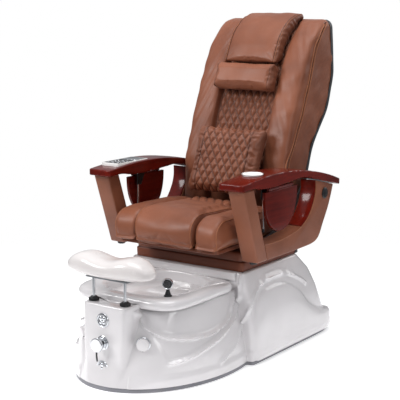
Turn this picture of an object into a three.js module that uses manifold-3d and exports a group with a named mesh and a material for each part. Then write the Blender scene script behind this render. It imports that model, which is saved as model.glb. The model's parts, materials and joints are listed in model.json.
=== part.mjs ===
// Pedicure spa chair: a foot basin on a moulded pedestal, with a sliding, reclining massage seat.
// Millimetres, +Z up. X runs across the chair (+X is the sitter's left), the sitter looks along -Y.
// The origin lies on the floor, under the middle of the whole chair.

import * as THREE from 'three';
import { mergeVertices } from 'three/addons/utils/BufferGeometryUtils.js';
import Module from 'manifold-3d';

const wasm = await Module();
wasm.setup();

// ---------------------------------------------------------------- driving dimensions

const GAP = 0.4;                 // clearance between pieces that rest against each other
const RUN = 0.35;                // radial running clearance of turning and sliding pieces

const PAN_TOP = 17.6;
const NOSE_FLOOR = { y: -225, half: 333, front: 468, power: 2 };   // the rounded front half's outline
const NOSE_TOP = { y: -301, half: 258, front: 246, power: 2.8 };
const NOSE_BACK_Y = 249;         // how far the nose outline runs back, inside the rear block
const NOSE_HEIGHT = 318;
const REAR_FRONT_Y = -97;        // front face of the rear block
const DECK_Z = 395;
const SHELL_WALL = 5;
const COLUMN_BACK_Y = -500;
const COLUMN_CAP_BACK_Y = -566;
const COLUMN_TOP = 339;

const BASIN_Y = -290;
const BASIN_POWER = 2.8;
const RIM_Y = -301;              // where the rim's straight sides start to round into its front
const RIM_POWER = 5;
const BASIN_WALL = 5;
const RIM_TOP = 361;
const RIM_BOTTOM = 320;
const BASIN_REAR_Y = -98.5;
const DRAIN_R = 22;
const WALL_LEAN = Math.atan2(10, 80);   // the basin's rear wall leans back

const POST_X = 80;
const POST_Y = -613;
const POST_R = 6.2;
const COLLAR_BORE = 8;
const PAD_BOTTOM = 443;
const PAD_Y = -600;
const PAD_HALF = 210;

const DIVERTER_Z = 278;
const MIXER_Z = 186;
const AIR_BUTTON_Z = 84;
const LEVER_LEAN = 76;           // degrees from the mixer's axis to its lever
const ROSE_R = 30;
const ROSE_SEAT = 2.5;           // depth of the flat seat cut into the column for each rose
const SIDE_KNOB_Z = 189;
const SIDE_KNOB_ANGLE = 64;      // degrees round the nose from +X towards the front
const SHOWER = { x: 178, y: -463 };

const PLINTH = { half: 285, front: -83, back: 372, top: 478 };
const RAIL_X = 180;
const SEAT_FRAME_BOTTOM = 493;
const SEAT_FRAME_TOP = 505;
const SEAT_HALF = 268;

const PIVOT = { y: 320, z: 580 };   // backrest hinge
const BACK_HALF = 272;
const WING_INNER = 152;
const RECESS = 38;

const ARM_INNER = 310;
const ARM_OUTER = 390;
const ARM_PIVOT = { y: 426, z: 673 };
const TRAY_X = 360;
const TRAY_Z = 745;
const TRAY_Y = 92;

// ---------------------------------------------------------------- materials

const finish = (color, roughness, metalness = 0) => new THREE.MeshStandardMaterial({
  color, roughness, metalness,
});
const LEATHER = finish(0x9c6248, 0.55);
const WOOD = finish(0x5c1510, 0.18);
const PEARL = finish(0xe8e6ea, 0.15);
const WHITE_PAD = finish(0xf2efef, 0.3);
const STRIP = finish(0x88898f, 0.5);
const CHROME = finish(0xd0d3d6, 0.08, 1);
const STEEL = finish(0x8f9398, 0.4, 0.9);
const BLACK = finish(0x17171a, 0.45);
const CHARCOAL = finish(0x2c3034, 0.6);
const CERAMIC = finish(0xf7f7f5, 0.2);

// ---------------------------------------------------------------- geometry helpers

function weld(geometry) {
  const bare = geometry.clone();
  bare.deleteAttribute('normal');
  bare.deleteAttribute('uv');
  return mergeVertices(bare, 1e-4);
}

function solid(geometry) {
  const welded = weld(geometry);
  const vertProperties = new Float32Array(welded.attributes.position.array);
  const triVerts = new Uint32Array(welded.index.array);
  return new wasm.Manifold(new wasm.Mesh({ numProp: 3, vertProperties, triVerts }));
}

function fromSolid(body) {
  const mesh = body.getMesh();
  const geometry = new THREE.BufferGeometry();
  geometry.setAttribute('position', new THREE.BufferAttribute(new Float32Array(mesh.vertProperties), 3));
  geometry.setIndex(new THREE.BufferAttribute(new Uint32Array(mesh.triVerts), 1));
  geometry.computeVertexNormals();
  return geometry;
}

const join = (...geometries) => fromSolid(geometries.map(solid).reduce((sum, next) => sum.add(next)));

const without = (rest, tool) => rest.subtract(tool);

const cut = (geometry, ...tools) => fromSolid(tools.map(solid).reduce(without, solid(geometry)));

const common = (first, second) => fromSolid(solid(first).intersect(solid(second)));

// A solid through a stack of closed rings with the same number of points, counter-clockwise from above.
function loft(rings) {
  const count = rings[0].length;
  const positions = rings.flat(2);
  const index = [];
  for (let level = 0; level < rings.length - 1; level += 1) {
    for (let i = 0; i < count; i += 1) {
      const a = level * count + i;
      const b = level * count + (i + 1) % count;
      index.push(a, b, b + count, a, b + count, a + count);
    }
  }
  const cap = (ring) => THREE.ShapeUtils.triangulateShape(ring.map((p) => new THREE.Vector2(p[0], p[1])), []);
  const last = (rings.length - 1) * count;
  cap(rings[0]).forEach(([a, b, c]) => index.push(a, c, b));
  cap(rings[rings.length - 1]).forEach(([a, b, c]) => index.push(last + a, last + b, last + c));
  const geometry = new THREE.BufferGeometry();
  geometry.setAttribute('position', new THREE.BufferAttribute(new Float32Array(positions), 3));
  geometry.setIndex(index);
  geometry.computeVertexNormals();
  return geometry;
}

const shapeOf = (points) => new THREE.Shape(points.map(([u, v]) => new THREE.Vector2(u, v)));

const plate = (points, depth) => new THREE.ExtrudeGeometry(shapeOf(points), {
  depth, bevelEnabled: false, steps: 1,
});

// An outline in (y, z), extruded across the chair from x0 to x1.
function acrossX(points, x0, x1) {
  const turn = new THREE.Matrix4().makeBasis(
    new THREE.Vector3(0, 1, 0),
    new THREE.Vector3(0, 0, 1),
    new THREE.Vector3(1, 0, 0),
  );
  return plate(points, Math.abs(x1 - x0)).applyMatrix4(turn).translate(Math.min(x0, x1), 0, 0);
}

const upZ = (points, z0, z1) => plate(points, z1 - z0).translate(0, 0, z0);

const block = (x0, x1, y0, y1, z0, z1) => new THREE.BoxGeometry(x1 - x0, y1 - y0, z1 - z0)
  .translate((x0 + x1) / 2, (y0 + y1) / 2, (z0 + z1) / 2);

// A cylinder along +Z from z0 to z1, on the local axis.
const rod = (radius, z0, z1, sides = 20) => new THREE.CylinderGeometry(radius, radius, z1 - z0, sides)
  .rotateX(Math.PI / 2).translate(0, 0, (z0 + z1) / 2);

// A turned solid about Z; the profile lists (radius, z) upwards.
function turned(profile, sides = 24) {
  const points = profile.map(([r, z]) => new THREE.Vector2(r, z));
  return new THREE.LatheGeometry(points, sides).rotateX(Math.PI / 2);
}

// A turned ring about Z, bored through; the profile closes on itself.
function turnedRing(bore, radius, z0, z1, chamfer = 1.5, sides = 24) {
  const profile = [
    [bore, z0], [radius, z0], [radius, z1 - chamfer], [radius - chamfer, z1], [bore, z1], [bore, z0],
  ];
  return turned(profile, sides);
}

// A smooth line through a few (u, v) points.
function smooth(points, steps) {
  const places = points.map(([u, v]) => new THREE.Vector3(u, v, 0));
  const curve = new THREE.CatmullRomCurve3(places, false, 'centripetal');
  return curve.getPoints(steps).map((p) => [p.x, p.y]);
}

// The value of a polyline of (key, value) rows at a key.
function lookup(rows, key) {
  const next = rows.findIndex((row) => row[0] >= key);
  if (next <= 0) {
    return next === 0 ? rows[0][1] : rows[rows.length - 1][1];
  }
  const [k0, v0] = rows[next - 1];
  const [k1, v1] = rows[next];
  return v0 + (v1 - v0) * (key - k0) / (k1 - k0);
}

const mixed = (a, b, t) => a + (b - a) * t;

// One ring of a superellipse whose front and back halves have their own depths.
function ovalRing({ half, front, back, y, power, z, count = 40 }) {
  return Array.from({ length: count }, (_, i) => {
    const angle = (2 * Math.PI * i) / count;
    const c = Math.cos(angle);
    const s = Math.sin(angle);
    const x = half * Math.sign(c) * Math.abs(c) ** (2 / power);
    const depth = s < 0 ? front : back;
    return [x, y + depth * Math.sign(s) * Math.abs(s) ** (2 / power), z];
  });
}

// One ring of a rectangle with its own corner radii at the front and the back.
function boxRing({ half, front, back, frontR, backR, z, arc = 6 }) {
  const corners = [
    [half - backR, back - backR, backR, 0],
    [-half + backR, back - backR, backR, 90],
    [-half + frontR, front + frontR, frontR, 180],
    [half - frontR, front + frontR, frontR, 270],
  ];
  return corners.flatMap(([cx, cy, r, start]) => Array.from({ length: arc + 1 }, (_, i) => {
    const angle = THREE.MathUtils.degToRad(start + (90 * i) / arc);
    return [cx + r * Math.cos(angle), cy + r * Math.sin(angle), z];
  }));
}

// A block with rounded edges, its middle on the local origin.
function softBlock(width, depth, height, radius) {
  const w = width / 2 - radius;
  const h = height / 2 - radius;
  const outline = [[-w, -h], [w, -h], [w, h], [-w, h]];
  return new THREE.ExtrudeGeometry(shapeOf(outline), {
    depth: depth - 2 * radius, bevelEnabled: true, bevelThickness: radius, bevelSize: radius, bevelSegments: 3,
    steps: 1,
  }).translate(0, 0, radius - depth / 2).rotateX(Math.PI / 2);
}

// ---------------------------------------------------------------- scene graph helpers

const chair = new THREE.Group();

function mesh(name, geometry, material, parent = chair) {
  const piece = new THREE.Mesh(geometry, material);
  piece.name = name;
  parent.add(piece);
  return piece;
}

const sides = [{ word: 'left', sign: 1 }, { word: 'right', sign: -1 }];

// ---------------------------------------------------------------- pedestal shell

const noseShare = (z) => (Math.max(z, 0) / NOSE_HEIGHT) ** 1.25;

const noseSize = (z) => ({
  y: mixed(NOSE_FLOOR.y, NOSE_TOP.y, noseShare(z)),
  half: mixed(NOSE_FLOOR.half, NOSE_TOP.half, noseShare(z)),
  front: mixed(NOSE_FLOOR.front, NOSE_TOP.front, noseShare(z)),
  power: mixed(NOSE_FLOOR.power, NOSE_TOP.power, noseShare(z)),
});

const REAR_SIDE = [[0, 350], [120, 346], [220, 335], [300, 320], [360, 305], [395, 297]];
const REAR_BACK = [
  [0, 588], [100, 620], [106, 560], [128, 548], [230, 507], [319, 457], [370, 402], [395, 374],
];
const REAR_LEVELS = [0, 100, 106, 170, 236, 319, 370];
const COLUMN_FRONT = [[0, -678], [40, -667], [80, -661], [200, -657], [339, -652]];
const COLUMN_SIDE = [[0, 126], [40, 119], [90, 113], [200, 110], [339, 109]];
const COLUMN_CORNER = [[0, 105], [40, 96], [90, 72], [140, 54], [200, 45], [339, 38]];

const columnFront = (z) => lookup(COLUMN_FRONT, z);

function noseSolid(z0, z1, inset) {
  const levels = [z0, ...[70, 140, 210, 270].filter((z) => z > z0 && z < z1), z1];
  return loft(levels.map((z) => ovalRing({
    half: noseSize(z).half - inset,
    front: noseSize(z).front - inset,
    back: NOSE_BACK_Y - noseSize(z).y - inset,
    y: noseSize(z).y,
    power: noseSize(z).power,
    z,
  })));
}

function rearSolid(z0, z1, inset) {
  const levels = [z0, ...REAR_LEVELS.filter((z) => z > z0 + 5 && z < z1 - 5), z1];
  return loft(levels.map((z) => boxRing({
    half: lookup(REAR_SIDE, z) - inset,
    front: REAR_FRONT_Y + inset,
    back: lookup(REAR_BACK, z + (inset > 0 ? 8 : 0)) - inset,
    frontR: 12,
    backR: 36,
    z,
  })));
}

// The column stands proud of the nose; its cap stops short of the basin's rim.
function columnSolid(z0, z1, inset) {
  const levels = [z0, ...[40, 90, 140, 200].filter((z) => z > z0 && z < z1), z1];
  const body = loft(levels.map((z) => boxRing({
    half: lookup(COLUMN_SIDE, z) - inset,
    front: columnFront(z) + inset,
    back: COLUMN_BACK_Y - inset,
    frontR: lookup(COLUMN_CORNER, z) - inset,
    backR: 6,
    z,
  })));
  if (z1 < NOSE_HEIGHT - 20) {
    return body;
  }
  const capBottom = NOSE_HEIGHT - 1 - inset;
  const behindCap = block(-200, 200, COLUMN_CAP_BACK_Y - inset, COLUMN_BACK_Y + 20, capBottom, 400);
  return cut(body, behindCap);
}

const pedestalSolid = (z0, inset) => join(
  noseSolid(z0, NOSE_HEIGHT - inset, inset),
  rearSolid(z0, DECK_Z - inset, inset),
  columnSolid(z0, COLUMN_TOP - inset, inset),
);

// The place of a side knob on the nose, and its outward direction in plan.
function sideKnobSeat(sign) {
  const { y, half, front, power } = noseSize(SIDE_KNOB_Z);
  const at = (degrees) => {
    const angle = THREE.MathUtils.degToRad(degrees);
    return new THREE.Vector2(
      half * Math.cos(angle) ** (2 / power),
      y - front * Math.sin(angle) ** (2 / power),
    );
  };
  const tangent = at(SIDE_KNOB_ANGLE - 4).sub(at(SIDE_KNOB_ANGLE + 4)).normalize();
  const point = at(SIDE_KNOB_ANGLE);
  return {
    position: new THREE.Vector3(sign * point.x, point.y, SIDE_KNOB_Z),
    outward: new THREE.Vector3(sign * tangent.y, -tangent.x, 0).normalize(),
  };
}

const Z_AXIS = new THREE.Vector3(0, 0, 1);
const FRONT = new THREE.Vector3(0, -1, 0);

// Turns a geometry made about +Z to point outward, and puts its local origin at the position.
function aim(geometry, position, outward) {
  const turn = new THREE.Quaternion().setFromUnitVectors(Z_AXIS, outward);
  return geometry.clone().applyQuaternion(turn).translate(position.x, position.y, position.z);
}

const onColumn = (z) => new THREE.Vector3(0, columnFront(z), z);

function buildPedestal() {
  const floorOutline = join(
    noseSolid(0, PAN_TOP, 3),
    rearSolid(0, PAN_TOP, 3),
    columnSolid(0, PAN_TOP, 3),
  );
  mesh('base_pan', floorOutline, STRIP);

  const seatCut = rod(ROSE_R + 0.5, -ROSE_SEAT, 40, 28);
  const bore = (radius) => rod(radius, -40, 5, 16);
  const tools = [
    upZ(ovalRing({ half: 197, front: 203, back: 190, y: BASIN_Y, power: BASIN_POWER, z: 0 }), 300, 325),
    ...[DIVERTER_Z, MIXER_Z, AIR_BUTTON_Z].map((z) => aim(seatCut, onColumn(z), FRONT)),
    aim(bore(7), onColumn(DIVERTER_Z), FRONT),
    aim(bore(16), onColumn(MIXER_Z), FRONT),
    aim(bore(7), onColumn(AIR_BUTTON_Z), FRONT),
    ...sides.map(({ sign }) => rod(12, 320, 350, 20).translate(sign * POST_X, POST_Y, 0)),
  ];
  for (const { sign } of sides) {
    const { position, outward } = sideKnobSeat(sign);
    tools.push(aim(rod(ROSE_R + 0.5, -ROSE_SEAT - 1, 60, 28), position, outward));
    tools.push(aim(bore(7), position, outward));
  }
  const outer = pedestalSolid(PAN_TOP + GAP, 0);
  mesh('base_shell', cut(outer, pedestalSolid(PAN_TOP - 5, SHELL_WALL), ...tools), PEARL);
}

// ---------------------------------------------------------------- foot basin

const BASIN_LEVELS = [
  { z: 98, half: 110, front: -400, back: -175 },
  { z: 112, half: 132, front: -417, back: -158 },
  { z: 150, half: 150, front: -438, back: -140 },
  { z: 220, half: 168, front: -460, back: -125 },
  { z: 300, half: 181, front: -479, back: -115 },
  { z: RIM_TOP, half: 190, front: -490, back: -109 },
];

const RIM_LEVELS = [
  { z: RIM_BOTTOM, half: 252, front: -548 },
  { z: 327, half: 263, front: -559 },
  { z: 345, half: 266, front: -562 },
  { z: 356, half: 257, front: -553 },
  { z: RIM_TOP, half: 240, front: -536 },
];

function basinCavity(grow) {
  const levels = BASIN_LEVELS.map((level) => ovalRing({
    half: level.half + grow,
    front: BASIN_Y - level.front + grow,
    back: level.back - BASIN_Y + grow,
    y: BASIN_Y,
    power: BASIN_POWER,
    z: level.z - grow,
  }));
  if (grow === 0) {
    levels.push(levels[levels.length - 1].map(([x, y]) => [x, y, RIM_TOP + 10]));
  }
  return loft(levels);
}

// The rim outline: half a superellipse in front, nearly straight sides that end at the rear block.
function rimRing({ z, half, front }) {
  const count = 25;
  const nose = Array.from({ length: count }, (_, i) => {
    const angle = Math.PI + (Math.PI * i) / (count - 1);
    const c = Math.cos(angle);
    const s = Math.sin(angle);
    const depth = RIM_Y - front;
    return [
      half * Math.sign(c) * Math.abs(c) ** (2 / RIM_POWER),
      RIM_Y - depth * Math.abs(s) ** (2 / RIM_POWER),
      z,
    ];
  });
  const tail = half - 16;
  return [
    ...nose, [half - 4, -200, z], [tail, BASIN_REAR_Y, z], [-tail, BASIN_REAR_Y, z], [-half + 4, -200, z],
  ];
}

function buildBasin() {
  const body = join(
    loft(RIM_LEVELS.map(rimRing)),
    basinCavity(BASIN_WALL),
    block(-188, 188, BASIN_REAR_Y - 6, BASIN_REAR_Y, RIM_BOTTOM, DECK_Z - GAP),
  );
  const shell = cut(
    body,
    basinCavity(0),
    rod(DRAIN_R, 80, 110).translate(0, BASIN_Y, 0),
    rod(8, 330, 370, 16).translate(SHOWER.x, SHOWER.y, 0),
  );
  mesh('foot_basin', shell, PEARL);

  const waist = DRAIN_R - RUN;
  const strainer = turned([[0, 86], [waist, 86], [waist, 98.3], [28, 98.3], [27, 101], [0, 102]]);
  mesh('drain_strainer', strainer, CHROME).position.set(0, BASIN_Y, 0);

  const route = new THREE.CatmullRomCurve3([
    new THREE.Vector3(0, BASIN_Y, 85.5),
    new THREE.Vector3(0, BASIN_Y, 70),
    new THREE.Vector3(0, BASIN_Y + 30, 52),
    new THREE.Vector3(0, BASIN_Y + 120, 50),
    new THREE.Vector3(0, 60, 50),
  ]);
  const section = Array.from({ length: 8 }, (_, i) => {
    const angle = (Math.PI * i) / 4;
    return [18 * Math.cos(angle), 18 * Math.sin(angle)];
  });
  const sweep = { extrudePath: route, steps: 12, bevelEnabled: false };
  const pipe = new THREE.ExtrudeGeometry(shapeOf(section), sweep);
  mesh('drain_pipe', pipe, BLACK);

  const cover = turned([[0, 0], [34, 0], [34, 3], [28, 10], [14, 14.5], [0, 15.5]]);
  const jet = mesh('jet_cover', cover, CERAMIC);
  jet.position.set(0, -120.2, 274);
  jet.rotation.x = Math.PI / 2 - WALL_LEAN;
  const nozzle = mesh('air_nozzle', turned([[0, 0], [12, 0], [12, 4], [7, 9], [0, 10]], 16), CHROME);
  nozzle.position.set(66, -126, 283);
  nozzle.rotation.x = Math.PI / 2 - WALL_LEAN;

  const socket = mesh('shower_socket', turnedRing(6.9, 17, 0, 6, 1.5, 20), BLACK);
  socket.position.set(SHOWER.x, SHOWER.y, RIM_TOP + GAP);
  const stem = join(
    rod(6.5, -28, 44, 16),
    turned([[0, 6.5], [12, 6.5], [9, 16], [0, 24]], 16),
    turned([[0, 0], [22, 0], [23, 8], [16, 16], [0, 18]], 20).rotateX(Math.PI / 2).translate(0, 9, 52),
  );
  const shower = mesh('hand_shower', stem, CHROME);
  shower.position.set(SHOWER.x, SHOWER.y, RIM_TOP + GAP);
  shower.rotation.z = THREE.MathUtils.degToRad(20);
}

// ---------------------------------------------------------------- works inside the pedestal

function buildWorks() {
  const motor = rod(62, 0, 190, 20).rotateX(Math.PI / 2).translate(0, 190, 0);
  const volute = rod(80, 0, 60, 20).rotateX(Math.PI / 2);
  const foot = block(-60, 60, 20, 160, -92, -50);
  const pump = mesh('jet_pump', join(motor, volute.translate(0, 8, 0), foot), BLACK);
  pump.position.set(-130, 90, 110 + PAN_TOP);

  const box = mesh('control_box', softBlock(150, 190, 90, 6), CHARCOAL);
  box.position.set(170, 170, PAN_TOP + GAP + 45);
}

// ---------------------------------------------------------------- footrest

function buildFootrest() {
  for (const { word, sign } of sides) {
    const guide = turnedRing(POST_R + RUN, 11, 230, COLUMN_TOP, 0.5, 20);
    mesh(`post_guide_${word}`, guide, STEEL).position.set(sign * POST_X, POST_Y, 0);
    const collar = turnedRing(COLLAR_BORE, 21.5, COLUMN_TOP + GAP + 0.2, COLUMN_TOP + 18, 2, 20);
    mesh(`lock_collar_${word}`, collar, BLACK).position.set(sign * POST_X, POST_Y, 0);
    const post = rod(POST_R, 170, PAD_BOTTOM - 6, 20);
    mesh(`footrest_post_${word}`, post, CHROME).position.set(sign * POST_X, POST_Y, 0);
  }
  mesh('footrest_plate', block(-105, 105, POST_Y - 20, POST_Y + 34, PAD_BOTTOM - 5.6, PAD_BOTTOM - 0.6), STEEL);

  // Sections across the pad's length, from one rounded end over two humps to the other.
  const stations = 13;
  const rings = Array.from({ length: stations }, (_, i) => {
    const u = -1 + (2 * i) / (stations - 1);
    const along = Math.sin((u * Math.PI) / 2);
    const x = PAD_HALF * along;
    const fade = Math.sqrt(Math.max(1 - Math.abs(along) ** 3.2, 0)) || 0;
    const reach = 0.12 + 0.88 * fade;
    const hump = 12 * Math.cos((Math.min(Math.abs(x), 190) / 130) * Math.PI) * -1;
    const top = 90 + hump;
    const low = 26 * (1 - reach);
    return Array.from({ length: 16 }, (_unused, k) => {
      const angle = (2 * Math.PI * k) / 16;
      const across = Math.sign(Math.cos(angle)) * Math.abs(Math.cos(angle)) ** 0.75;
      const up = Math.sign(Math.sin(angle)) * Math.abs(Math.sin(angle)) ** 0.75;
      const middle = (low + top * (0.35 + 0.65 * reach)) / 2;
      const spread = (top * (0.35 + 0.65 * reach) - low) / 2;
      return [across * 75 * reach, middle + up * spread, x];
    });
  });
  const turn = new THREE.Matrix4().makeBasis(
    new THREE.Vector3(0, 1, 0),
    new THREE.Vector3(0, 0, 1),
    new THREE.Vector3(1, 0, 0),
  );
  mesh('footrest_pad', loft(rings).applyMatrix4(turn), WHITE_PAD).position.set(0, PAD_Y, PAD_BOTTOM);
}

// ---------------------------------------------------------------- controls

function buildControls() {
  const seat = (z) => new THREE.Vector3(0, columnFront(z) + ROSE_SEAT - 0.3, z);
  const ring = turnedRing(24, ROSE_R, 0, 7, 2, 28);

  mesh('diverter_rose', aim(ring, seat(DIVERTER_Z), FRONT), CHROME);
  const cross = join(
    turned([[0, 1.5], [23, 1.5], [23, 8], [19, 10], [0, 10]]),
    rod(6.5, -22, 5, 12),
    block(-19, 19, -4, 4, 8, 14),
    block(-4, 4, -19, 19, 8, 14),
  );
  mesh('diverter_knob', aim(cross, seat(DIVERTER_Z), FRONT), CHROME);

  const rose = join(
    turned([[0, 0], [ROSE_R, 0], [ROSE_R, 4], [27, 7], [0, 7]], 28),
    rod(15.5, -34, 3, 20),
  );
  mesh('mixer_rose', aim(rose, seat(MIXER_Z), FRONT), CHROME);
  const hub = join(rod(22, 7.5, 17, 24), rod(8, 12, 26, 16));
  mesh('mixer_hub', aim(hub, seat(MIXER_Z), FRONT), CHROME);
  const lever = join(
    turned([[0, 35], [27.5, 35], [29, 37], [29, 43], [26, 45], [0, 46]]),
    rod(3.8, 0, 56, 12).rotateX(THREE.MathUtils.degToRad(LEVER_LEAN)).translate(0, -14, 41),
  );
  mesh('mixer_lever', aim(lever, seat(MIXER_Z), FRONT), CHROME);

  mesh('air_button_bezel', aim(ring, seat(AIR_BUTTON_Z), FRONT), CHROME);
  const button = join(turned([[0, 5], [23, 5], [23, 9], [19, 11], [0, 12]]), rod(6.5, -20, 6, 12));
  mesh('air_button', aim(button, seat(AIR_BUTTON_Z), FRONT), CHROME);

  for (const { word, sign } of sides) {
    const { position, outward } = sideKnobSeat(sign);
    const knob = join(
      turned([[0, -2], [29.5, -2], [29.5, 6], [26, 8], [25, 20], [22, 23], [0, 23]]),
      rod(6.5, -26, 0, 12),
      block(20, 26.5, -2, 2, 9, 21),
    );
    mesh(`air_knob_${word}`, aim(knob, position, outward), CHROME);
  }
}

// ---------------------------------------------------------------- seat

function buildSeat() {
  const box = block(-PLINTH.half, PLINTH.half, PLINTH.front, PLINTH.back, DECK_Z + GAP, PLINTH.top);
  const hollow = block(
    -PLINTH.half + 14, PLINTH.half - 14, PLINTH.front + 14, PLINTH.back - 14, DECK_Z - 5, PLINTH.top - 10,
  );
  mesh('seat_plinth', cut(box, hollow), LEATHER);
  const motor = join(
    block(-45, 45, 0, 110, -30, 20),
    rod(10, 0, 190, 20).rotateX(Math.PI / 2).translate(0, 290, 0),
  );
  mesh('slide_actuator', motor, BLACK).position.set(0, -20, DECK_Z + 31);

  const railTop = SEAT_FRAME_BOTTOM - 1.5;
  for (const { word, sign } of sides) {
    const x = sign * RAIL_X;
    mesh(`seat_rail_${word}`, block(x - 14, x + 14, -60, 350, PLINTH.top + GAP, railTop), STEEL);
  }

  const deck = join(
    block(-SEAT_HALF + 20, SEAT_HALF - 20, -225, 214, SEAT_FRAME_BOTTOM, SEAT_FRAME_TOP),
    block(-60, 60, 200, 275, SEAT_FRAME_BOTTOM, SEAT_FRAME_TOP),
  );
  const runners = sides.flatMap(({ sign }) => [-1, 1].map((edge) => {
    const x = sign * RAIL_X + edge * 17.5;
    return block(x - 2.5, x + 2.5, -50, 190, PLINTH.top + 2, SEAT_FRAME_BOTTOM + 2);
  }));
  const hangers = sides.map(({ sign }) => acrossX(
    [[190, SEAT_FRAME_BOTTOM], [214, SEAT_FRAME_BOTTOM], [PIVOT.y + 14, PIVOT.z - 18], [PIVOT.y + 14, PIVOT.z + 14],
      [PIVOT.y - 12, PIVOT.z + 14], [226, 524], [214, SEAT_FRAME_TOP], [190, SEAT_FRAME_TOP]],
    sign * 236,
    sign * 242,
  ));
  mesh('seat_frame', join(deck, ...runners, ...hangers), STEEL);

  // Waterfall front, flat bottom, gently dished top.
  const outline = smooth([
    [205, 508], [212, 560], [205, 628], [150, 640], [0, 646], [-150, 648], [-215, 640], [-254, 606],
    [-262, 560], [-248, 520], [-225, 508],
  ], 36);
  mesh('seat_cushion', acrossX(outline, -SEAT_HALF, SEAT_HALF), LEATHER);

  for (const { word, sign } of sides) {
    const cheek = acrossX(
      [[60, 494], [200, 494], [330, 560], [ARM_PIVOT.y + 24, ARM_PIVOT.z - 22], [ARM_PIVOT.y + 24, ARM_PIVOT.z + 24],
        [ARM_PIVOT.y - 24, ARM_PIVOT.z + 24], [270, 560], [60, 505]],
      sign * 280.5,
      sign * 286.5,
    );
    const x0 = Math.min(sign * (SEAT_HALF - 19.5), sign * 283);
    const x1 = Math.max(sign * (SEAT_HALF - 19.5), sign * 283);
    const foot = block(x0, x1, 70, 190, 495, 504);
    const boss = rod(11, 0, 30, 24).rotateY(sign * Math.PI / 2).translate(sign * 284, ARM_PIVOT.y, ARM_PIVOT.z);
    mesh(`arm_bracket_${word}`, join(cheek, foot, boss), STEEL);
  }

  const gearbox = rod(24, -60, 60, 24).rotateY(Math.PI / 2);
  const shaft = rod(9, -235.5, 235.5, 20).rotateY(Math.PI / 2);
  const strut = acrossX([[-98, -74.6], [-50, -74.6], [18, -12], [-18, 12], [-98, -62]], -20, 20);
  mesh('recline_gearmotor', join(gearbox, shaft, strut), BLACK).position.set(0, PIVOT.y, PIVOT.z);
}

// ---------------------------------------------------------------- backrest

const BACK_FRONT = [
  [545, 276], [640, 268], [713, 270], [792, 274], [852, 287], [931, 311], [1002, 335], [1117, 384],
  [1211, 425], [1303, 478], [1366, 533], [1405, 582],
];
const BACK_TOP = [[600, 1419], [641, 1430], [668, 1430]];
const BACK_REAR = [
  [545, 408], [620, 432], [763, 472], [872, 516], [1017, 634], [1110, 670], [1184, 691], [1250, 688], [1387, 674],
  [1430, 668],
];
const SHELL_THICK = 15;

const frontAt = (z) => lookup(BACK_FRONT, z);
const rearAt = (z) => lookup(BACK_REAR, z);

function buildBackrest() {
  const front = BACK_FRONT.map(([z, y]) => [y, z]);
  const rear = BACK_REAR.map(([z, y]) => [y, z]);
  const crown = BACK_TOP.slice().reverse().slice(1);
  const whole = acrossX([...rear, ...crown, ...front.slice().reverse()], -BACK_HALF, BACK_HALF);

  // The middle of the front face lies behind the two side wings.
  const levels = BACK_FRONT.map(([z]) => z);
  const recess = acrossX(
    [...levels.map((z) => [frontAt(z) + RECESS, z]), [650, 1412], [700, 1412], [700, 1500], [100, 1500], [100, 500],
      [frontAt(545) + RECESS, 500]],
    -WING_INNER,
    WING_INNER,
  );
  const cavity = acrossX(
    [[rearAt(600) + 30, 600], ...[640, 792, 931, 1117, 1303].map((z) => [frontAt(z) + RECESS + 34, z]),
      [rearAt(1303) + 40, 1330], [rearAt(1184) + 40, 1184], [rearAt(872) + 60, 872]],
    -BACK_HALF + 26,
    BACK_HALF - 26,
  );
  const axle = rod(14, -300, 300, 24).rotateY(Math.PI / 2).translate(0, PIVOT.y, PIVOT.z);
  const yoke = block(-245, 245, 230, PIVOT.y + 24, 500, PIVOT.z + 24);
  const motorBay = block(-70, 70, 230, PIVOT.y + 32, 500, PIVOT.z + 32);
  mesh('back_cushion', cut(whole, recess, cavity, axle, yoke, motorBay), LEATHER);

  const skin = [
    ...rear.map(([y, z]) => [y + 0.5, z]),
    ...rear.slice().reverse().map(([y, z]) => [y + SHELL_THICK, z - (z > 1400 ? 6 : 0)]),
  ];
  mesh('back_shell', acrossX(skin, -BACK_HALF + 3, BACK_HALF - 3), CHARCOAL);

  const tilt = Math.atan2(177, 550);
  const works = new THREE.Group();
  works.position.set(0, 400, 700);
  works.rotation.x = -tilt;
  chair.add(works);
  for (const { word, sign } of sides) {
    mesh(`massage_rail_${word}`, block(sign * 190 - 9, sign * 190 + 9, -9, 9, -20, 590), STEEL, works);
  }
  const roller = (x) => rod(24, -16, 16, 16).rotateY(Math.PI / 2).translate(x, -26, 0);
  const carriage = join(
    block(-150, 150, -22, 22, -55, 55),
    block(-179, 179, -8, 8, -40, 40),
    ...[-95, 95].flatMap((x) => [roller(x).translate(0, 0, 45), roller(x).translate(0, 0, -45)]),
  );
  mesh('massage_carriage', carriage, BLACK, works).position.set(0, 0, 180);

  const headOutline = [
    ...smooth([[403, 1238], [424, 1292], [452, 1345], [496, 1395], [560, 1434], [628, 1454], [666, 1456]], 14),
    [668, 1414], [650, 1414],
    ...[1405, 1366, 1303, 1238].map((z) => [frontAt(z) + RECESS - 2, z]),
  ];
  mesh('head_pad', acrossX(headOutline, -140, 140), LEATHER);

  const neck = mesh('neck_pillow', softBlock(296, 76, 128, 18), LEATHER);
  neck.position.set(0, 378, 1176);
  neck.rotation.x = -THREE.MathUtils.degToRad(23);

  const lumbar = mesh('lumbar_pillow', softBlock(370, 92, 330, 34), LEATHER);
  lumbar.position.set(12, 209, 812);
  lumbar.rotation.x = -THREE.MathUtils.degToRad(21);
}

// ---------------------------------------------------------------- arms

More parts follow.
